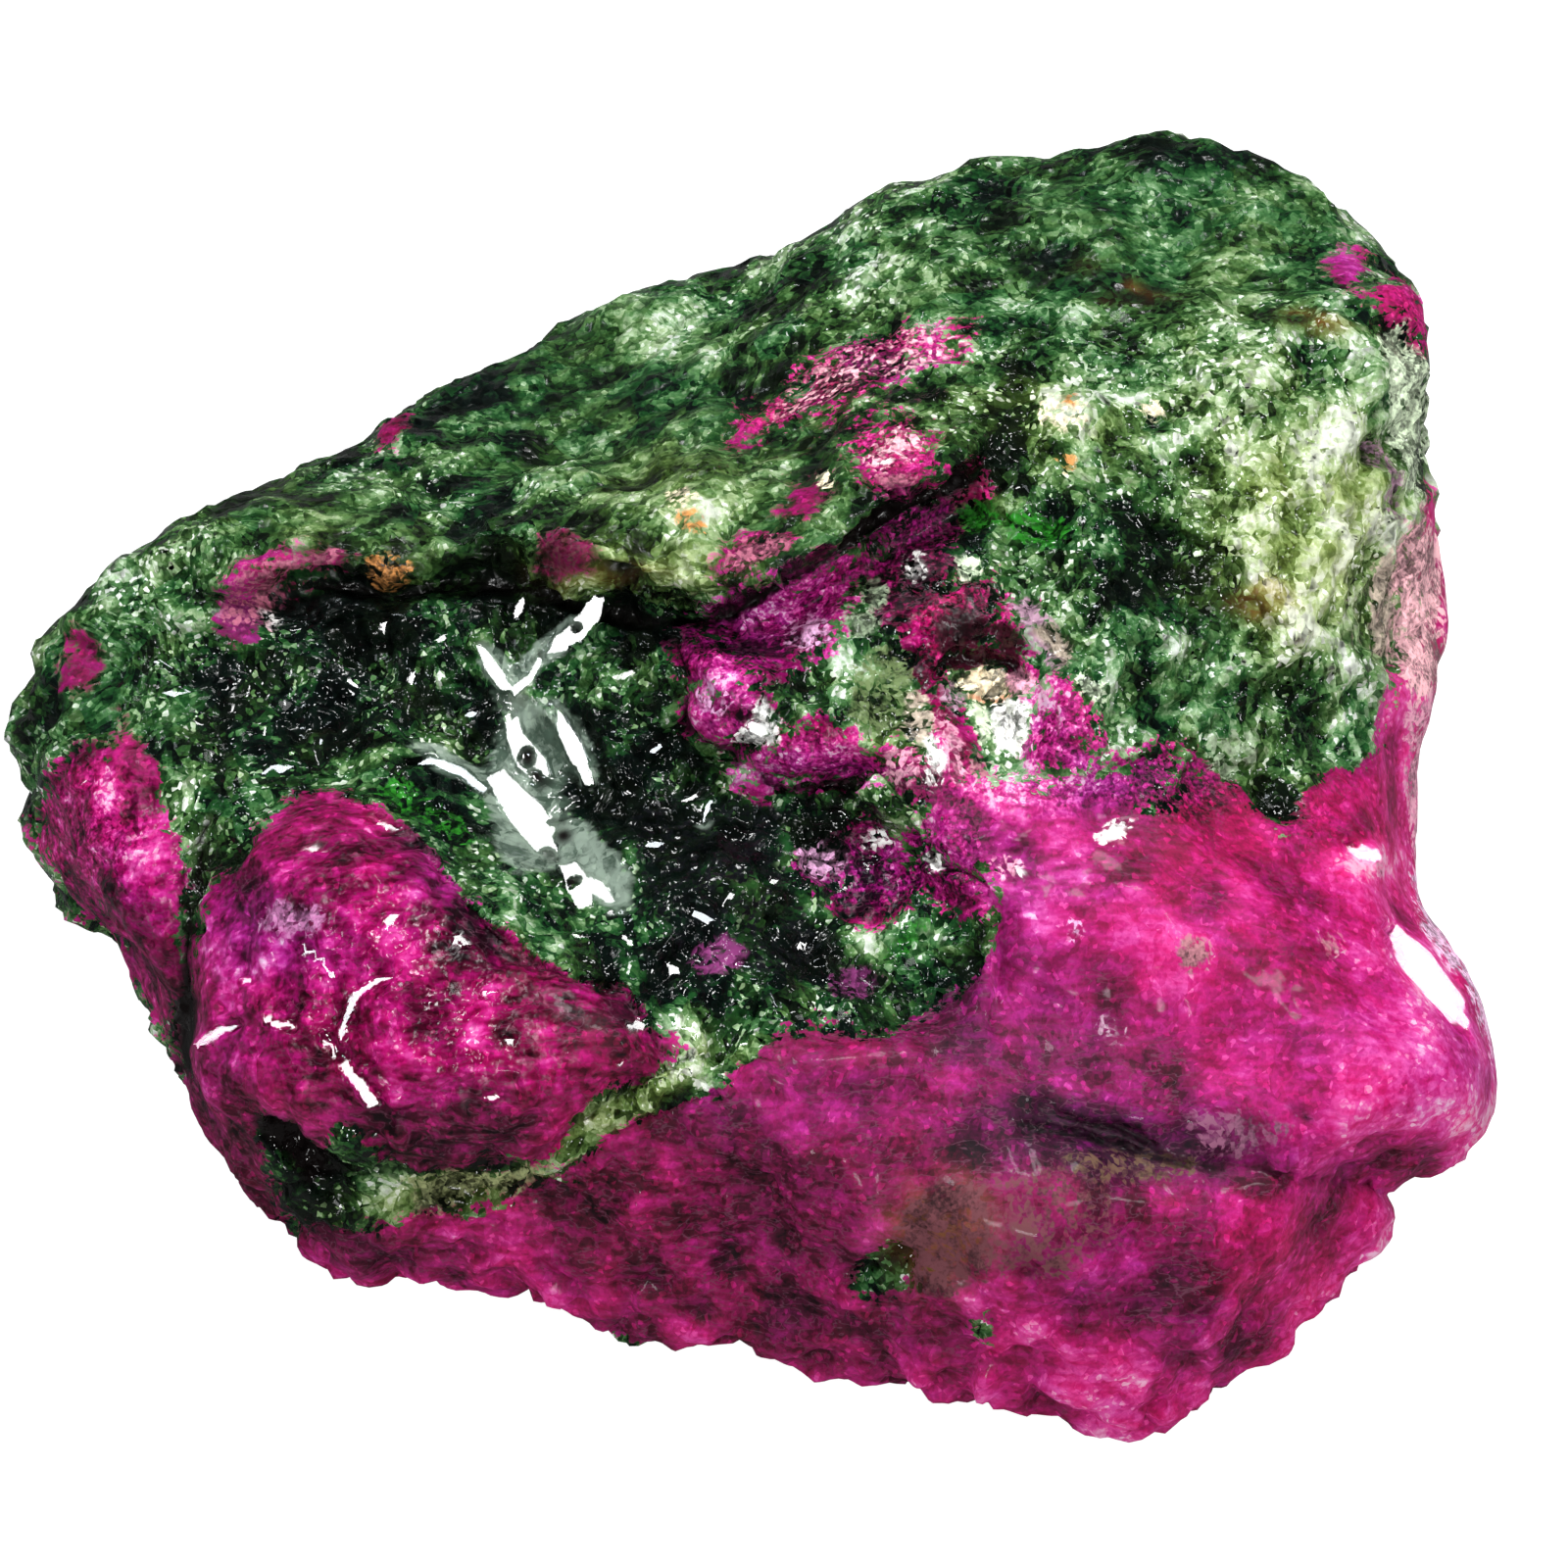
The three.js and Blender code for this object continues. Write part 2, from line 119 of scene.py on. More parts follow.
# Ruby areas of the front.
RUBY = {
    "main": [
        (905, 788), (932, 806), (946, 842), (955, 872), (985, 884), (1012, 892), (1016, 915), (1006, 945),
        (1012, 972), (995, 1005), (950, 1032), (900, 1052), (850, 1055), (800, 1062), (752, 1085),
        (735, 1112), (700, 1128), (650, 1142), (610, 1168), (570, 1192), (530, 1218), (480, 1238),
        (430, 1242), (380, 1258), (345, 1262), (325, 1300), (380, 1400), (900, 1500), (1250, 1560),
        (1650, 1350), (1650, 480), (1466, 480), (1452, 560), (1446, 640), (1430, 690), (1412, 700),
        (1404, 768), (1372, 790), (1330, 812), (1308, 842), (1280, 815), (1250, 790), (1205, 770),
        (1165, 772), (1110, 785), (1060, 792), (1010, 790), (960, 770), (930, 768),
    ],
    "left lump": [
        (300, 805), (350, 806), (392, 820), (422, 850), (452, 880), (500, 940), (560, 985), (600, 1000),
        (642, 1005), (665, 1048), (700, 1070), (660, 1100), (622, 1112), (572, 1165), (540, 1188),
        (480, 1196), (420, 1192), (392, 1170), (350, 1150), (330, 1175), (318, 1155), (300, 1172),
        (262, 1160), (270, 1200), (290, 1240), (250, 1290), (150, 1150), (182, 1080), (192, 980),
        (205, 925), (245, 885), (255, 850), (272, 828),
    ],
    "foot of the lump": [(318, 1245), (360, 1256), (420, 1262), (430, 1330), (300, 1330), (290, 1270)],
    "far left": [
        (50, 790), (90, 765), (118, 768), (128, 732), (142, 762), (160, 800), (188, 850), (190, 900),
        (184, 960), (186, 1010), (176, 1060), (150, 1010), (120, 962), (70, 925), (46, 880), (40, 830),
    ],
    "far left spot": [(55, 700), (60, 668), (78, 645), (94, 655), (92, 690), (80, 708)],
    "back strip, left": [
        (222, 640), (228, 602), (250, 580), (300, 566), (350, 558), (372, 562), (330, 580), (290, 590),
        (270, 612), (268, 645), (240, 655),
    ],
    "silhouette spot": [(380, 460), (384, 432), (402, 422), (420, 440), (404, 458)],
    "dusky spot": [(550, 570), (556, 552), (580, 545), (602, 556), (596, 576), (570, 582)],
    "slab patch": [(735, 580), (748, 556), (770, 544), (802, 545), (806, 560), (780, 572), (756, 584)],
    "slab strip": [
        (800, 405), (830, 378), (862, 354), (900, 342), (960, 338), (992, 342), (985, 362), (940, 368),
        (900, 382), (860, 392), (842, 410), (780, 428), (752, 452), (742, 436), (770, 418),
    ],
    "slab pale spot": [(872, 470), (880, 442), (912, 430), (948, 448), (952, 478), (930, 500), (892, 498)],
    "slab faint spots": [(795, 515), (805, 492), (830, 488), (838, 505), (818, 520)],
    "band under the ledge": [
        (692, 640), (735, 618), (765, 600), (800, 588), (838, 570), (856, 562), (872, 570), (902, 566),
        (905, 540), (930, 520), (962, 503), (1002, 482), (1012, 494), (975, 518), (965, 545), (974, 582),
        (950, 596), (920, 580), (902, 590), (872, 596), (876, 622), (862, 640), (856, 670), (822, 668),
        (806, 680), (796, 700), (774, 690), (758, 664), (730, 652), (705, 652),
    ],
    "magenta nub": [
        (684, 656), (706, 646), (734, 662), (752, 672), (768, 694), (782, 716), (792, 738), (780, 760),
        (750, 758), (720, 752), (702, 742), (712, 700), (694, 684),
    ],
    "band over the hollow": [
        (742, 768), (790, 755), (802, 744), (832, 736), (858, 739), (874, 752), (896, 768), (935, 765),
        (960, 790), (925, 815), (890, 792), (862, 803), (840, 800), (802, 798), (780, 812), (762, 802),
    ],
    "middle, left": [
        (898, 600), (920, 588), (942, 600), (962, 608), (985, 594), (1012, 590), (1006, 622), (1000, 652),
        (985, 668), (955, 684), (948, 720), (930, 720), (934, 672), (922, 642), (904, 622),
    ],
    "maroon edge of the eye": [
        (1014, 598), (1036, 612), (1036, 650), (1048, 670), (1052, 692), (1000, 690), (1012, 668),
    ],
    "right of the eye": [
        (1048, 700), (1080, 688), (1106, 705), (1121, 735), (1116, 772), (1106, 790), (1056, 796),
        (1046, 770), (1052, 722),
    ],
    "left of the eye": [(946, 712), (958, 700), (972, 730), (992, 760), (1004, 800), (950, 800)],
    "dark spots": [
        (808, 886), (822, 868), (850, 860), (872, 846), (905, 846), (930, 866), (948, 884), (990, 880),
        (1006, 900), (1004, 932), (980, 944), (955, 930), (935, 915), (915, 940), (880, 950), (855, 940),
        (850, 922), (868, 908), (840, 906), (816, 900),
    ],
    "top right spot": [(1352, 268), (1364, 254), (1388, 258), (1396, 274), (1384, 288), (1362, 286)],
    "top right edge": [
        (1392, 300), (1420, 286), (1480, 290), (1490, 390), (1455, 392), (1448, 350), (1430, 322),
    ],
}

# Zoisite areas that lie inside the ruby ones; the dark pit among them is painted shade in a hole.
ZOISITE = {
    "eye": [
        (1000, 700), (1016, 684), (1038, 690), (1050, 716), (1048, 756), (1034, 782), (1014, 778),
        (1004, 742),
    ],
    "streak right of the middle": [
        (1168, 832), (1180, 800), (1206, 768), (1212, 780), (1194, 806), (1180, 836),
    ],
    "front dark spot": [(872, 1312), (880, 1282), (912, 1270), (936, 1286), (926, 1318), (896, 1332)],
    "front small spot": [(980, 1362), (994, 1346), (1018, 1346), (1022, 1362), (1004, 1374)],
    "left rim": [
        (55, 930), (70, 938), (120, 972), (160, 1040), (190, 1095), (180, 1140), (90, 1040), (40, 960),
    ],
    # Painted shade: dark zoisite laid into the hole in the lump.
    "dark pit": [
        (262, 1150), (272, 1130), (300, 1142), (330, 1180), (352, 1232), (320, 1252), (290, 1212),
        (268, 1182),
    ],
}

# How light the grain is at a place, with painted light and shade in the marks named below: 0 is nearly
# black, 1 nearly white. Each mark has its centre, half its width and height, the degrees that it is
# turned, the lightness, and how much it counts.
TONE_AND_PAINTED_LIGHT = [
    # The zoisite of the back slope and the top.
    (640, 420, 260, 90, -25, 0.43, 1.0), (1180, 240, 240, 90, 12, 0.46, 1.0),
    (900, 400, 120, 90, 0, 0.46, 0.6),
    (720, 340, 90, 30, -20, 0.60, 0.6), (880, 270, 120, 40, -25, 0.42, 0.8),
    (300, 520, 170, 34, -22, 0.30, 0.8),
    (1200, 160, 130, 26, 4, 0.30, 0.8), (440, 500, 90, 40, -20, 0.30, 0.7),
    (640, 330, 50, 26, -25, 0.62, 0.6),
    (740, 520, 120, 50, -12, 0.54, 0.8), (900, 300, 120, 40, -20, 0.54, 0.8),
    (650, 580, 110, 30, 0, 0.42, 0.9),
    # The dark hollow, and painted shadow in the crevice under the back ledge's overhang.
    (330, 690, 160, 90, 0, 0.21, 1.0), (560, 660, 150, 80, 0, 0.26, 1.0),
    (640, 690, 66, 60, 0, 0.47, 0.9), (620, 830, 110, 120, 0, 0.18, 1.0),
    (830, 880, 140, 90, 0, 0.14, 1.0), (700, 970, 140, 70, 0, 0.22, 1.0),
    (860, 1010, 110, 40, -10, 0.17, 0.8),
    # Painted shadow under the back ledge's overhang: the two marks of this line and the one of the next.
    (380, 612, 150, 22, 0, 0.14, 0.8), (870, 552, 150, 12, 28, 0.10, 1.0),
    (680, 636, 90, 12, -6, 0.12, 0.9),
    (210, 720, 34, 60, 0, 0.10, 0.7), (130, 650, 60, 50, 0, 0.38, 0.8), (110, 725, 80, 44, 0, 0.44, 0.8),
    (230, 820, 40, 60, 0, 0.20, 0.8), (560, 940, 110, 60, -38, 0.26, 0.7),
    (420, 820, 70, 30, -30, 0.36, 0.9),
    (900, 960, 60, 30, -30, 0.40, 0.8), (840, 700, 60, 34, 0, 0.31, 1.0), (905, 725, 34, 34, 0, 0.38, 0.8),
    # The right-hand green face.
    (1340, 540, 110, 130, 0, 0.77, 1.0), (1390, 440, 70, 70, 0, 0.72, 1.0),
    (1130, 420, 80, 60, -20, 0.74, 1.0),
    (1085, 415, 34, 24, -20, 0.95, 0.9), (1160, 520, 80, 70, 0, 0.34, 0.9),
    (1180, 590, 100, 60, -25, 0.28, 0.9),
    (1060, 540, 44, 24, 20, 0.42, 1.0), (1240, 690, 120, 60, -10, 0.57, 0.9),
    (1150, 740, 50, 50, 0, 0.52, 0.8),
    (1290, 800, 60, 50, 0, 0.42, 0.9), (1370, 720, 50, 60, 0, 0.56, 0.8), (1250, 400, 60, 90, 0, 0.52, 0.8),
    # Painted shade: the first mark darkens the pit in this face.
    (1040, 420, 24, 60, 0, 0.10, 0.9), (1000, 520, 32, 22, 0, 0.50, 0.9), (1400, 360, 44, 44, 0, 0.66, 0.8),
    (1300, 340, 70, 40, 0, 0.44, 0.8), (1090, 660, 34, 60, -35, 0.70, 0.8),
    (1430, 600, 20, 140, 0, 0.78, 0.6),
    # The vein and the small zoisite spots.
    (620, 1145, 120, 26, 32, 0.72, 1.0), (490, 1218, 140, 24, 5, 0.88, 1.0),
    # Painted shade: this mark darkens the pit in the lump.
    (330, 1215, 34, 40, -40, 0.06, 1.0),
    (900, 1300, 40, 30, 0, 0.24, 1.0), (1000, 1358, 26, 16, 0, 0.22, 1.0),
    (120, 1010, 60, 90, -35, 0.32, 1.0), (745, 1075, 20, 24, 0, 0.40, 1.0),
    # The ruby, with painted light and shade in the marks named below.
    (1350, 900, 150, 80, -10, 0.56, 1.0), (1250, 840, 80, 60, 0, 0.33, 1.0),
    (1370, 820, 40, 50, 0, 0.46, 0.9), (1420, 1060, 110, 90, 0, 0.76, 1.0),
    (1200, 950, 150, 90, 0, 0.58, 1.0),
    (1050, 880, 110, 70, -25, 0.58, 1.0), (1060, 1080, 120, 50, 0, 0.42, 0.9),
    (900, 1100, 130, 50, -8, 0.44, 0.9),
    # Painted shade: both marks darken the fold's undercut.
    (1130, 1165, 150, 30, -8, 0.22, 1.0), (1085, 1148, 80, 20, -12, 0.14, 1.0),
    (1040, 1030, 50, 34, 0, 0.52, 0.9), (1340, 1186, 110, 18, 5, 0.50, 0.9),
    # Painted light: the first mark lightens the ruby over the fold, where its curve falls into shade.
    (1360, 1120, 120, 50, 0, 0.66, 0.8), (820, 1200, 160, 80, 0, 0.36, 1.0),
    (640, 1250, 160, 60, -10, 0.30, 1.0), (1180, 1300, 170, 80, 0, 0.42, 1.0),
    # Painted light: this mark lightens the lower rim, in place of light shining through it.
    (1150, 1420, 160, 50, -15, 0.74, 1.0),
    # Painted light: the second mark here and the marks of the next two lines lighten the lower rim and the
    # right corner.
    (1330, 1300, 70, 70, 0, 0.54, 0.9), (1402, 1240, 34, 40, 0, 0.74, 1.0),
    (1362, 1330, 34, 64, -50, 0.80, 1.0),
    (1280, 1410, 70, 26, 45, 0.84, 1.0), (1500, 1150, 40, 44, 0, 0.92, 1.0),
    # Painted highlight: the first mark, nearly white, lies under the glint over the right edge.
    (1400, 880, 34, 20, 0, 0.96, 0.9), (1450, 760, 26, 190, 0, 0.90, 1.0),
    (330, 900, 90, 80, 0, 0.48, 1.0), (250, 980, 70, 70, 0, 0.66, 0.9), (450, 1010, 130, 90, 0, 0.44, 1.0),
    (600, 1070, 80, 50, -30, 0.36, 0.9), (300, 1120, 60, 60, 0, 0.44, 0.8),
    (120, 860, 70, 90, 0, 0.50, 1.0),
    # Painted highlight: the first mark, nearly white, lies under the glint on the right edge.
    (1460, 1000, 26, 60, -25, 0.98, 0.9), (900, 370, 100, 26, -18, 0.47, 1.0),
    (912, 468, 34, 28, 0, 0.70, 1.0),
    (960, 640, 40, 40, 0, 0.28, 0.9), (1080, 740, 40, 40, 0, 0.56, 0.9), (735, 715, 40, 40, 0, 0.66, 1.0),
    (820, 780, 90, 28, 0, 0.68, 1.0), (800, 630, 70, 34, 0, 0.58, 1.0), (930, 540, 34, 30, 0, 0.48, 1.0),
    (870, 895, 60, 40, 0, 0.34, 0.9), (1372, 270, 26, 20, 0, 0.58, 1.0), (1440, 330, 30, 50, 0, 0.46, 1.0),
    (300, 580, 70, 20, 10, 0.52, 0.9), (245, 625, 26, 30, 0, 0.56, 0.9), (76, 680, 20, 34, 0, 0.54, 1.0),
    (770, 560, 40, 20, 20, 0.40, 1.0), (400, 440, 20, 18, 0, 0.42, 1.0),
    # Painted light: both marks lighten the lower rim.
    (560, 1305, 160, 24, -20, 0.58, 0.9), (820, 1385, 140, 24, -14, 0.56, 0.9),
]

# How yellow the zoisite is.
OLIVE = [
    (640, 575, 120, 30, 0, 0.8, 1.0), (1340, 540, 100, 120, 0, 0.85, 1.0), (1085, 430, 60, 40, 0, 0.7, 0.9),
    (480, 1220, 120, 20, 5, 0.8, 1.0), (640, 1130, 110, 20, 32, 0.8, 1.0), (700, 500, 90, 50, 0, 0.6, 0.8),
    (1000, 520, 32, 22, 0, 0.5, 0.9), (1250, 400, 60, 90, 0, 0.5, 0.8), (350, 540, 120, 30, -20, 0.6, 0.7),
    (1290, 790, 60, 44, 0, 0.3, 0.7), (905, 730, 40, 40, 0, 0.6, 0.8), (950, 440, 160, 90, 0, 0.4, 0.6),
]

# How far the ruby leans from crimson to violet.
VIOLET = [
    (280, 950, 70, 50, 0, 0.9, 0.9), (360, 900, 60, 60, 0, 0.25, 0.8),
    (1050, 1055, 120, 56, -10, 0.62, 1.0),
    (470, 900, 60, 36, -40, 0.8, 0.8), (1160, 1165, 170, 36, -6, 0.85, 0.9),
    (245, 625, 30, 34, 0, 0.9, 1.0),
    (790, 630, 110, 50, 0, 0.8, 0.9), (930, 540, 50, 40, 0, 0.8, 0.9), (1140, 805, 70, 34, 0, 0.9, 0.9),
    (1450, 760, 24, 160, 0, 0.4, 0.8), (735, 715, 44, 40, 0, 0.7, 0.9),
    (1150, 1310, 110, 50, -30, 0.55, 0.7),
    (870, 890, 80, 30, 0, 0.85, 0.8), (1480, 1080, 50, 60, 0, 0.65, 0.8),
    (1010, 880, 90, 50, -25, 0.75, 0.8),
    (900, 370, 90, 22, -18, 0.6, 0.8), (1370, 1060, 90, 40, 0, 0.6, 0.7), (1250, 840, 70, 50, 0, 0.05, 0.9),
    (1370, 840, 50, 50, 0, 0.05, 0.9), (1250, 960, 80, 50, 0, 0.25, 0.7), (960, 650, 50, 50, 0, 0.1, 0.9),
    (1060, 740, 50, 50, 0, 0.6, 0.9), (820, 785, 90, 24, 0, 0.85, 0.9), (560, 1080, 90, 60, -30, 0.15, 0.8),
    (640, 1250, 200, 60, -12, 0.2, 0.9), (820, 1120, 120, 40, 0, 0.6, 0.8),
    (840, 1260, 90, 60, 0, 0.3, 0.8),
    (1310, 1300, 70, 80, 0, 0.1, 0.9), (1150, 1420, 150, 40, -15, 0.25, 0.9),
    (320, 1080, 70, 60, 0, 0.2, 0.7),
    (230, 1060, 40, 50, 0, 0.5, 0.7), (120, 900, 60, 80, 0, 0.5, 0.7), (1420, 960, 40, 60, 0, 0.3, 0.6),
    (1372, 270, 26, 20, 0, 0.9, 0.9), (300, 570, 60, 16, 0, 0.4, 0.9), (1030, 1000, 60, 50, 0, 0.7, 0.6),
]

# The smoother far side, where the zoisite's grain is even and dull.
SOFT = [
    (640, 420, 330, 120, -25, 1.0, 1.0), (1180, 230, 260, 110, 10, 0.9, 1.0),
    (350, 540, 180, 50, -20, 1.0, 1.0), (95, 700, 80, 80, 0, 0.7, 1.0), (660, 575, 160, 34, 0, 0.9, 1.0),
    (290, 600, 90, 40, 0, 0.8, 1.0),
]

# How bubbly and glossy the ruby's surface is.
GLOSS = [
    (400, 1010, 220, 160, -20, 1.0, 1.0), (120, 880, 90, 120, 0, 0.9, 1.0),
    (820, 700, 160, 130, 0, 0.9, 1.0),
    (1020, 700, 110, 120, 0, 0.9, 1.0), (930, 890, 120, 60, 0, 1.0, 1.0),
    (700, 1250, 250, 80, -12, 0.35, 1.0),
    (1040, 870, 100, 40, -25, 0.5, 0.8), (520, 730, 240, 130, 0, 0.8, 1.0),
    (700, 900, 200, 130, 0, 0.8, 1.0),
]

# Grains of other minerals and colours, with painted highlights and painted light where named:
# outline, colour, and how much of it shows where that isn't all.
CREAM = (0.86, 0.74, 0.52)
WHITE_AND_PAINTED_GLINTS = (0.93, 0.92, 0.88)
GREY_GREEN = (0.24, 0.31, 0.20)
PALE_GREEN_AND_PAINTED_GLARE = (0.60, 0.72, 0.50)
LILAC = (0.66, 0.34, 0.56)
ROSE = (0.80, 0.36, 0.48)
MAUVE_GREY = (0.34, 0.20, 0.27)
VIOLET_GREY = (0.40, 0.14, 0.30)
ORANGE = (0.60, 0.26, 0.08)
BEIGE = (0.46, 0.38, 0.30)
DARK_WINE = (0.035, 0.003, 0.010)
BROWN = (0.115, 0.034, 0.042)
ROSE_BROWN = (0.34, 0.13, 0.16)
PALE_ROSE = (0.78, 0.42, 0.46)
PINK_GREY = (0.62, 0.28, 0.38)
PALE_LILAC = (0.76, 0.48, 0.68)
VIVID_GREEN = (0.02, 0.17, 0.015)
OLIVE_GREY = (0.26, 0.29, 0.13)
OLIVE_BROWN = (0.10, 0.055, 0.035)
GREEN_BROWN = (0.12, 0.17, 0.07)
INK = (0.004, 0.005, 0.006)
DUSK = (0.20, 0.070, 0.125)
DARK_VIOLET = (0.17, 0.03, 0.12)
PEACH = (0.70, 0.36, 0.22)
DULL_ROSE = (0.36, 0.10, 0.16)
